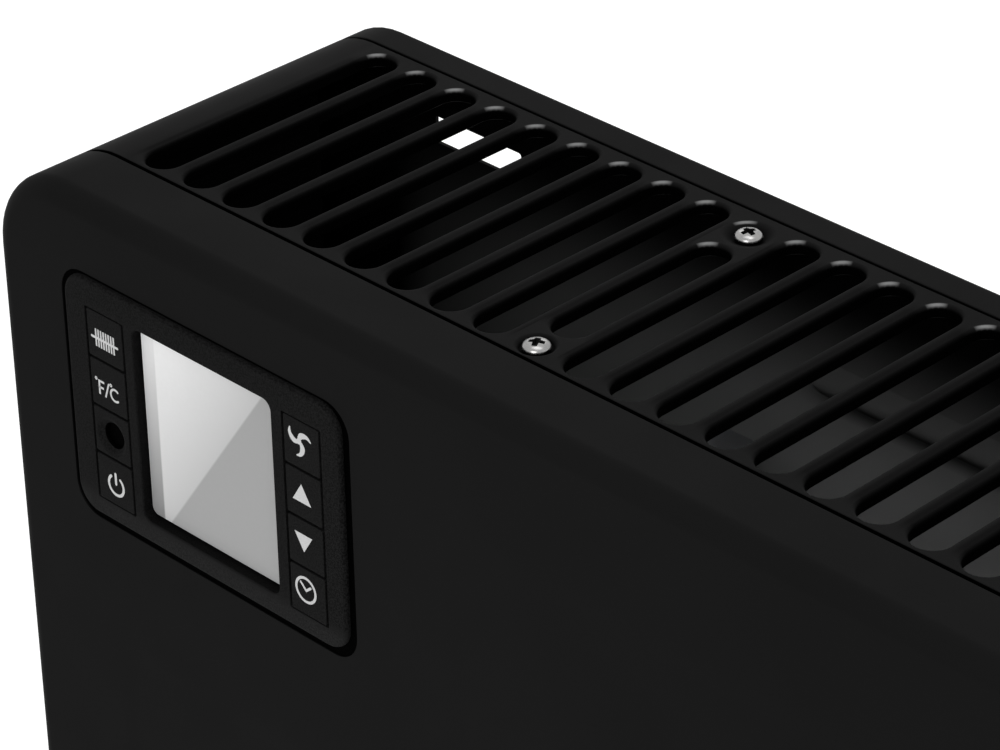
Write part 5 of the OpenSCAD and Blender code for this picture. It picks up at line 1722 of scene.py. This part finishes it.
@dataclass
class Panel:
    """The moulded panel: bezel and its black drop-shadow rim, the display, the keys with their signs, and the
    receiver's cell.

    face, screen and plate hold their ends along X and Z. rim_steps, screen_steps and window_steps hold
    insets and depths, eye holds radii and depths, and the other steps count the parts of a round.
    """

    face: Span = (-291.7, -201.8, 346.5, 408.3)
    r: float = 6.5
    y_face: float = -54.65
    y_rim: float = -53.45
    y_glass: float = -52.45
    side_h: float = 1.0
    edge_r: float = 0.9
    edge_steps: int = 5
    # The rim's widths: a painted drop shadow, wider at the right and the bottom
    shadow_rim_slim: float = 2.0
    shadow_rim_wide: float = 2.5
    rim_steps: tuple[Flat, ...] = ((0.0, 1.2), (0.0, 0.3), (0.1, 0.08), (0.3, 0.0))
    rim_under: float = 0.4
    screen: Span = (-268.6, -223.4, 352.1, 401.75)
    screen_r: float = 2.4
    screen_steps: tuple[Flat, ...] = ((-0.35, 0.0), (-0.17, 0.05), (-0.05, 0.17), (0.0, 0.35))
    well_foot: float = 1.2
    plate: Span = (-268.05, -223.1, 353.3, 401.9)
    plate_r: float = 1.9
    plate_h: float = 3.2
    key_xs: Flat = (-278.05, -213.75)
    key_ws: Flat = (13.1, 12.3)
    keys_z1: float = 401.3
    keys_in_row: int = 4
    key_pitch: float = 12.5
    key_depth: float = 1.9
    window_r: float = 0.4
    window_steps: tuple[Flat, ...] = ((-0.08, 0.0), (-0.02, 0.04), (0.0, 0.1))
    key_gap: float = 0.66
    key_r: float = 0.45
    key_edge: float = 0.12
    key_soft: Flat = (0.13, 0.5)
    key_steps: int = 4
    receiver: tuple[int, int] = (0, 2)
    dish_shift: Flat = (-0.35, -0.55)
    dish_r: float = 5.1
    dish_foot: float = 3.3
    dish_depth: float = 1.1
    dish_share: float = 0.8
    dish_steps: int = 10
    eye: tuple[Flat, ...] = ((3.32, 1.0), (3.15, 1.15), (3.0, 1.35), (2.9, 1.8))
    round_steps: int = 40
    sign_angle: float = 60.0

    def bezel(self) -> Skin:
        """Draws the bezel's face with its rounded edge, and the openings for the display and the keys.

        Returns:
            The skin.
        """
        skin = Skin()
        corners = box_corners(*self.face)
        loops = [skin.at_depth(rounded(corners, self.r), self.y_rim + self.side_h)]
        loops += [skin.at_depth(rounded(corners, self.r, inset), self.y_face + depth)
                  for inset, depth in quarter_round(self.edge_r, self.edge_steps)]
        skin.run(loops)
        screen = box_corners(*self.screen)
        holes = [self.opening(skin, screen, self.screen_r, CORNER_STEPS, self.screen_steps)]
        height = self.keys_in_row * self.key_pitch
        wall = (*self.window_steps, (0.0, self.key_depth))
        for x, width in zip(self.key_xs, self.key_ws):
            window = box_at(x, self.keys_z1 - height / 2, width, height)
            holes.append(self.opening(skin, window, self.window_r, self.key_steps, wall))
        skin.fill(loops[-1], holes)
        return skin

    def opening(self, skin: Skin, corners: Sequence[Flat], r: float, steps: int,
                section: Sequence[Flat]) -> list[int]:
        """Draws an opening's wall with its softened edge.

        Args:
            skin: the bezel's skin.
            corners: the opening's corners.
            r: the corners' radius.
            steps: the parts of each corner's arc.
            section: the wall's insets, and depths under the face.

        Returns:
            The wall's loop in the face.
        """
        rings = [skin.at_depth(rounded(corners, r, inset, steps), self.y_face + depth)
                 for inset, depth in section]
        skin.sink(rings)
        return rings[0]

    def well(self) -> Skin:
        """Draws the wall of the display's recess, down past the display's face.

        Returns:
            The skin.
        """
        skin = Skin()
        path = rounded(box_corners(*self.screen), self.screen_r)
        top = self.y_face + self.screen_steps[-1][1]
        skin.sink([skin.at_depth(path, y) for y in (top, self.y_glass + self.well_foot)])
        return skin

    def rim(self) -> Skin:
        """Draws the black rim round the bezel's face, wider at the right and the bottom, which stands in for
        the bezel's drop shadow.

        Returns:
            The skin.
        """
        skin = Skin()
        slim, wide = self.shadow_rim_slim, self.shadow_rim_wide
        x0, x1, z0, z1 = self.face
        outer = box_corners(x0 - slim, x1 + wide, z0 - wide, z1 + slim)
        loops = [skin.at_depth(rounded(outer, self.r + slim, inset), self.y_rim + depth)
                 for inset, depth in self.rim_steps]
        loops.append(skin.at_depth(rounded(box_corners(*self.face), self.r, self.rim_under), self.y_rim))
        skin.run(loops)
        return skin

    def middle(self, side: int, row: int) -> Flat:
        """Returns the middle of a key's cell.

        Args:
            side: 0 for the left row, 1 for the right.
            row: 0 to 3 from the top.

        Returns:
            The middle's X and Z.
        """
        return self.key_xs[side], self.keys_z1 - (row + 0.5) * self.key_pitch

    def cap(self, side: int, row: int, dished: bool = False) -> Skin:
        """Draws a key's cap, or the receiver's dished cell.

        Args:
            side: 0 for the left row, 1 for the right.
            row: 0 to 3 from the top.
            dished: whether it is the receiver's.

        Returns:
            The skin.
        """
        skin = Skin()
        width, height = self.key_ws[side] - 2 * self.key_gap, self.key_pitch - self.key_gap
        corners = box_at(*self.middle(side, row), width, height)
        e, (low, high) = self.key_edge, self.key_soft
        steps = [(0.0, self.key_depth), (0.0, e), (e * low, e * high), (e * high, e * low), (e, 0.0)]
        rings = [skin.at_depth(rounded(corners, self.key_r, inset, self.key_steps), self.y_face + depth)
                 for inset, depth in steps]
        skin.run(rings)
        skin.cap(rings[0], flip=True)
        if not dished:
            skin.fill(rings[-1])
            return skin
        section = []
        for k in range(self.dish_steps + 1):
            share = k / self.dish_steps
            section.append((self.dish_r + (self.dish_foot - self.dish_r) * share,
                            self.dish_depth * smooth_step(share * self.dish_share)))
        bowl = self.bowl(skin, section)
        skin.fill(rings[-1], [bowl[0]])
        return skin

    def bowl(self, skin: Skin, section: Iterable[Flat]) -> list[list[int]]:
        """Draws a round wall about the receiver's middle.

        Args:
            skin: the piece's skin.
            section: the wall's radii, and depths under the face.

        Returns:
            The wall's loops.
        """
        x, z = (place + shift for place, shift in zip(self.middle(*self.receiver), self.dish_shift))
        rings = [skin.at_depth(circle(x, z, r, self.round_steps), self.y_face + depth)
                 for r, depth in section]
        skin.sink(rings)
        return rings

    def lens(self) -> Skin:
        """Draws the receiver's black eye, sunk at the bottom of its dish.

        Returns:
            The skin.
        """
        skin = Skin()
        skin.cap(self.bowl(skin, self.eye)[-1])
        return skin

    def glass(self) -> Skin:
        """Draws the display's plate.

        Returns:
            The skin.
        """
        skin = Skin()
        path = rounded(box_corners(*self.plate), self.plate_r)
        rings = [skin.at_depth(path, y) for y in (self.y_glass + self.plate_h, self.y_glass)]
        skin.run(rings)
        skin.fill(rings[-1])
        skin.cap(rings[0], flip=True)
        return skin

    def build(self, workshop: Workshop) -> None:
        """Makes the panel's pieces in place of their nodes.

        Args:
            workshop: the workshop.
        """
        workshop.make("bezel_face", self.bezel(), BEZEL, stands_for=("panel_bezel",))
        workshop.make("bezel_rim", self.rim(), DROP_SHADOW_RIM)
        workshop.make("bezel_well", self.well(), SHADED_WELL)
        workshop.make("display_plate", self.glass(), FILM, stands_for=("lcd_module",))
        workshop.make("receiver_cell", self.cap(*self.receiver, dished=True), KEY,
                      stands_for=("receiver_window",))
        workshop.make("receiver_lens", self.lens(), LENS)
        for sign in KeySign:
            body = f"key_{sign.name.lower()}"
            workshop.make(f"{body}_cap", self.cap(*sign.value), KEY, body, (body,))
            x, z = (place + shift for place, shift in zip(self.middle(*sign.value), SIGN_SHIFTS[sign]))
            painter = SignPainter(x, z, self.y_face)
            workshop.make(f"{body}_sign", painter.skin(sign), INK, body, angle=self.sign_angle)


@dataclass
class SignPainter:
    """Draws a key's sign as thin raised ink on its cap.

    Each sign's points lie about its own middle. The strokes are the widths of its lines.
    """

    x: float
    z: float
    y_face: float
    proud: float = 0.03
    sunk: float = 0.05
    step: float = 0.002
    stroke: float = 0.62
    letter_stroke: float = 0.56
    slash_stroke: float = 0.476
    power_stroke: float = 0.72
    clock_stroke: float = 0.66
    hand_stroke: float = 0.6
    degree: Flat = (0.3, 0.3)
    sharpest: float = 0.4
    end_steps: int = 16
    turns: int = 8
    first_turn: float = -2.95
    turn_pitch: float = 0.86
    turn_size: Flat = (0.48, 4.5)
    blade: tuple[Flat, ...] = ((0.0, -0.3), (0.24, -0.95), (0.3, -1.6), (0.1, -2.65), (-0.45, -3.25),
                               (-1.0, -3.62), (-0.76, -3.86), (0.46, -3.6), (1.4, -2.6), (1.72, -1.4),
                               (1.35, -0.55), (0.6, 0.1))
    skin_out: Skin = field(default_factory=Skin)

    def shifted(self, path: Iterable[Flat]) -> list[Flat]:
        """Returns a path moved to the sign's place."""
        return [(self.x + x, self.z + z) for x, z in path]

    def plate(self, path: Sequence[Flat], lift: float = 0.0) -> None:
        """Adds a filled shape.

        Args:
            path: its outline, counterclockwise.
            lift: how far it stands above the other ink, so that no two faces share a plane.
        """
        path = self.shifted(path)
        low = self.skin_out.at_depth(path, self.y_face + self.sunk)
        high = self.skin_out.at_depth(path, self.y_face - self.proud - lift)
        self.skin_out.bridge(low, high)
        self.skin_out.fill(high)

    def band(self, path: Sequence[Flat], width: float | None = None, closed: bool = False,
             ends: bool = True) -> None:
        """Adds a line of ink along a path.

        Args:
            path: the line's middle.
            width: the line's width, the sign's stroke if none is given.
            closed: whether the line's ends join.
            ends: whether an open line has round ends.
        """
        half = (width or self.stroke) / 2
        count = len(path)
        left, right = [], []
        for i, here in enumerate(path):
            before = path[i - 1] if closed or i else here
            after = path[(i + 1) % count] if closed or i < count - 1 else here
            way_in = Vector(here) - Vector(before)
            way_out = Vector(after) - Vector(here)
            way_in = (way_in if way_in.length else way_out).normalized()
            way_out = (way_out if way_out.length else way_in).normalized()
            across = Vector((-way_in.y - way_out.y, way_in.x + way_out.x)).normalized()
            reach = half / max(across.dot(Vector((-way_in.y, way_in.x))), self.sharpest)
            left.append((here[0] + across.x * reach, here[1] + across.y * reach))
            right.append((here[0] - across.x * reach, here[1] - across.y * reach))
        skin = self.skin_out
        depths = (self.y_face - self.proud, self.y_face + self.sunk)
        (left_high, left_low), (right_high, right_low) = (
            [skin.at_depth(self.shifted(side), y) for y in depths] for side in (left, right))
        skin.bridge(right_high, left_high, closed)
        skin.bridge(left_high, left_low, closed)
        skin.bridge(right_low, right_high, closed)
        if closed:
            return
        for i, flip in ((0, False), (-1, True)):
            skin.cap([right_high[i], right_low[i], left_low[i], left_high[i]], flip)
        for x, z in (path[0], path[-1]) if ends else ():
            self.plate(circle(x, z, half, self.end_steps), 2 * self.step)

    def arc(self, x: float, z: float, r: float, start: float, end: float, steps: int = 28) -> list[Flat]:
        """Draws an arc.

        Args:
            x: its centre's X.
            z: its centre's Z.
            r: its radius.
            start: the angle where it starts, in degrees.
            end: the angle where it ends.
            steps: its parts.

        Returns:
            Its points.
        """
        turns = [math.radians(start + (end - start) * k / steps) for k in range(steps + 1)]
        return [(x + r * math.cos(t), z + r * math.sin(t)) for t in turns]

    def skin(self, sign: KeySign) -> Skin:
        """Draws a sign.

        Args:
            sign: which one.

        Returns:
            The skin.
        """
        draw = {KeySign.HEAT: self.heat, KeySign.UNIT: self.unit, KeySign.POWER: self.power,
                KeySign.FAN: self.fan, KeySign.UP: self.up, KeySign.DOWN: self.down,
                KeySign.TIMER: self.timer}[sign]
        draw()
        return self.skin_out

    def heat(self) -> None:
        """Draws the heating coil: upright turns on a bar."""
        self.band([(-4.4, -0.1), (4.3, -0.1)])
        for k in range(self.turns):
            x = self.first_turn + k * self.turn_pitch
            self.plate(box_at(x, 0.0, *self.turn_size), 2 * self.step)

    def unit(self) -> None:
        """Draws the two temperature scales' letters."""
        self.band([(-3.1, -2.0), (-3.1, 1.45), (-1.35, 1.45)], self.letter_stroke, ends=False)
        self.band([(-3.1, -0.15), (-1.65, -0.15)], self.letter_stroke, ends=False)
        self.band([(-1.15, -2.1), (0.25, 1.9)], self.slash_stroke, ends=False)
        self.band(self.arc(2.25, -0.35, 1.5, 52.0, 308.0), self.letter_stroke)
        radius, width = self.degree
        for x, z in ((-4.1, 1.75), (0.95, 1.85)):
            self.band(circle(x, z, radius, self.end_steps), width, closed=True)

    def power(self) -> None:
        """Draws the broken circle and its upright."""
        self.band(self.arc(0.0, -0.3, 2.55, 128.0, 412.0), self.power_stroke)
        self.band([(0.0, 0.1), (0.0, 2.75)], self.power_stroke)

    def fan(self) -> None:
        """Draws the three curved blades."""
        for k in range(3):
            self.plate(spline(turned(self.blade, math.tau * k / 3)), self.step * k)
        self.plate(circle(0.0, 0.0, 0.75, 24), 4 * self.step)

    def up(self) -> None:
        """Draws the upward arrowhead."""
        self.plate([(-2.9, -2.2), (2.9, -2.2), (0.0, 2.45)])

    def down(self) -> None:
        """Draws the downward arrowhead."""
        self.plate([(-2.8, 2.2), (0.0, -2.3), (2.8, 2.2)])

    def timer(self) -> None:
        """Draws the clock."""
        self.band(circle(0.0, 0.0, 3.05, 40), self.clock_stroke, closed=True)
        self.band([(-1.55, 1.55), (0.1, -0.1), (1.55, 1.1)], self.hand_stroke)


def spline(points: Sequence[Flat], steps: int = 4) -> list[Flat]:
    """Smooths a closed outline through its points.

    Args:
        points: the outline's points.
        steps: the parts between two points.

    Returns:
        The finer outline.
    """
    count = len(points)
    out: list[Flat] = []
    for i in range(count):
        a, b, c, d = (Vector(points[(i + k) % count]) for k in (-1, 0, 1, 2))
        for k in range(steps):
            t = k / steps
            bend, twist = 2 * a - 5 * b + 4 * c - d, 3 * b - a - 3 * c + d
            p = 0.5 * (2 * b + (c - a) * t + bend * t * t + twist * t ** 3)
            out.append((p.x, p.y))
    return out


# The parts inside and below


@dataclass
class InnerParts:
    """The nodes that keep their solids' shapes: each gets its finish, and the blocky ones get soft edges."""

    dressed: tuple[tuple[Finish, str], ...] = (
        (PAINT, "bottom_panel"), (LAMINATE, "display_board power_board"),
        (COMPONENT, "push_switches tilt_switch room_sensor"),
        (ALUMINIUM, "element_front element_rear blower_wheel"),
        (CERAMIC, "insulator_front_left insulator_front_right insulator_rear_left insulator_rear_right"),
        (CERAMIC, "thermal_cutout"), (STEEL, "element_bracket_left element_bracket_right blower_scroll"),
        (STEEL, "blower_motor partition tilt_bracket"), (RUBBER, "blower_bush"), (BRASS, "tilt_pendulum"),
        (SCREW, "foot_screw_left_front foot_screw_left_back foot_screw_right_front foot_screw_right_back"))
    softened: tuple[tuple[Finish, float, str], ...] = (
        (FOOT, 0.9, "foot_left foot_right"), (RUBBER, 0.5, "pad_left_front pad_left_back"),
        (RUBBER, 0.5, "pad_right_front pad_right_back"), (RELAY, 0.5, "relay_low relay_high"),
        (TERMINAL, 0.3, "terminal_block"), (COIL_TAPE, 0.4, "transformer"), (RUBBER, 0.35, "cord_inlet"))

    def build(self, workshop: Workshop, frame: dict[str, Any]) -> None:
        """Dresses every node that stays, and rounds the blocky ones' edges.

        Args:
            workshop: the workshop.
            frame: the loaded frame.
        """
        for finish, nodes in self.dressed:
            for node in nodes.split():
                materials = frame["nodes"][node].data.materials
                materials.clear()
                materials.append(workshop.finishes.of(finish))
        for finish, width, nodes in self.softened:
            for node in nodes.split():
                workshop.soften(frame, node, finish, width)


# The studio


@dataclass(frozen=True)
class SoftBox:
    """A soft lamp: its place and target in metres, its size, and its face's brightness, where 1 is white."""

    name: str
    place: Point
    target: Point
    size: Flat
    level: float
    mirrored: bool = True

    def hang(self) -> None:
        """Hangs the lamp, which glossy faces mirror only if it is mirrored."""
        data = bpy.data.lights.new(self.name, "AREA")
        data.shape = "RECTANGLE"
        data.size, data.size_y = self.size
        data.energy = self.level * math.pi * self.size[0] * self.size[1]
        box = bpy.data.objects.new(self.name, data)
        bpy.context.scene.collection.objects.link(box)
        box.location = self.place
        box.rotation_euler = (Vector(self.target) - Vector(self.place)).to_track_quat("-Z", "Y").to_euler()
        box.visible_camera = False
        box.visible_glossy = self.mirrored


@dataclass
class Studio:
    """A pale floor, soft lamps and the camera that stands where the photograph was taken."""

    floor_r: float = 9000.0
    floor_level: float = 0.8
    floor_lift: float = 0.42
    light_level: float = 0.5
    white_level: float = 1.0
    turn: float = 0.799
    tilt: float = 0.5383
    roll: float = -0.0186
    focal_px: float = 4060.07
    width_px: float = 1000.0
    sensor: float = 36.0
    clip_start: float = 0.05
    offset: Point = (0.273, 0.3194, 63.467)
    unit: float = 13.0
    anchor: Point = (-169.0, -34.25, 427.0)
    boxes: tuple[SoftBox, ...] = (
        SoftBox("overhead_box", (-0.1, 0.1, 2.1), (-0.1, 0.0, 0.4), (1.3, 0.9), 2.0),
        SoftBox("rear_box", (-1.75, 1.6, 1.75), (-0.15, 0.0, 0.42), (1.3, 1.3), 1.0),
        SoftBox("front_box", (0.6, -1.9, 1.3), (0.0, 0.0, 0.3), (1.3, 1.3), 4.0),
        SoftBox("back_box", (0.8, 2.1, 1.0), (0.0, 0.0, 0.25), (1.3, 1.3), 4.0, False),
        SoftBox("side_box", (-2.3, -0.1, 1.0), (-0.3, 0.0, 0.25), (1.0, 1.0), 1.6, False))

    def camera(self) -> None:
        """Stands the camera at the fitted place, with the photograph's angle and focal length.

        The place is fitted in slot pitches from a point that the photograph shows well.
        """
        az, el, roll = self.turn, self.tilt, self.roll
        ahead = Vector((-math.sin(az) * math.cos(el), math.cos(az) * math.cos(el), -math.sin(el)))
        level = Vector((math.cos(az), math.sin(az), 0.0))
        above = level.cross(ahead)
        right = level * math.cos(roll) + above * math.sin(roll)
        up = above * math.cos(roll) - level * math.sin(roll)
        place = -(right * self.offset[0] + up * self.offset[1] + ahead * self.offset[2])
        place = (place * self.unit + Vector(self.anchor)) * MM
        data = bpy.data.cameras.new("photo_camera")
        data.sensor_width = self.sensor
        data.sensor_fit = "HORIZONTAL"
        data.lens = self.focal_px / self.width_px * data.sensor_width
        data.clip_start = self.clip_start
        camera = bpy.data.objects.new("photo_camera", data)
        bpy.context.scene.collection.objects.link(camera)
        rows = [[right[i], up[i], -ahead[i], place[i]] for i in range(3)]
        camera.matrix_world = Matrix(rows + [[0, 0, 0, 1]])
        bpy.context.scene.camera = camera

    def seen(self, sheet: NodeSheet) -> Socket:
        """Draws what tells the rays that see or mirror a thing from those that only light it.

        Args:
            sheet: the node tree to draw in.

        Returns:
            1 for camera, glossy and transmission rays, and 0 for the rest.
        """
        path = sheet.node("ShaderNodeLightPath").outputs
        seen = sheet.math("MAXIMUM", path["Is Camera Ray"], path["Is Glossy Ray"])
        return sheet.math("MAXIMUM", seen, path["Is Transmission Ray"])

    def floor(self) -> None:
        """Lays the pale floor, which looks white but keeps the heater's shadow."""
        material = bpy.data.materials.new("pale_floor")
        material.use_nodes = True
        sheet = NodeSheet(material.node_tree)
        plain = sheet.node("ShaderNodeBsdfDiffuse", {"Color": grey(self.floor_level)})
        strength = sheet.math("MULTIPLY", self.seen(sheet), self.floor_lift)
        lift = sheet.node("ShaderNodeEmission", {"Strength": strength})
        both = sheet.node("ShaderNodeAddShader", {0: plain.outputs[0], 1: lift.outputs[0]})
        sheet.node("ShaderNodeOutputMaterial", {"Surface": both.outputs[0]})
        skin = Skin()
        skin.cap(skin.at_height(circle(0.0, 0.0, self.floor_r, 64), 0.0))
        plane = bpy.data.objects.new("floor", skin.mesh("floor"))
        plane.data.materials.append(material)
        bpy.context.scene.collection.objects.link(plane)

    def world(self) -> None:
        """Sets a white surround for what is seen and mirrored, and a plain level for soft light."""
        world = bpy.data.worlds.new("studio")
        world.use_nodes = True
        sheet = NodeSheet(world.node_tree)
        inputs = {"Value": self.seen(sheet), "To Min": self.light_level, "To Max": self.white_level}
        level = sheet.node("ShaderNodeMapRange", inputs).outputs["Result"]
        back = sheet.node("ShaderNodeBackground", {"Color": grey(1.0), "Strength": level})
        sheet.node("ShaderNodeOutputWorld", {"Surface": back.outputs[0]})
        bpy.context.scene.world = world

    def build(self) -> None:
        """Sets the whole studio up."""
        bpy.context.scene.view_settings.view_transform = "Standard"
        self.camera()
        self.floor()
        self.world()
        for box in self.boxes:
            box.hang()


def main() -> None:
    """Builds the studio and the heater's pieces, in order."""
    logging.basicConfig(level=logging.INFO, format="%(name)s %(message)s")
    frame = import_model()
    Studio().build()
    workshop = Workshop(Finishes())
    rows = RowTree("row_of_pieces")
    casing, row = Casing(), SlotRow()
    Wrap(casing, row).build(workshop, rows)
    FrontCover(casing).build(workshop)
    RearCover(casing).build(workshop)
    CoverFittings(row).build(workshop)
    GrilleScrews(row).build(workshop, rows)
    Panel().build(workshop)
    InnerParts().build(workshop, frame)


if __name__ == "__main__":
    main()
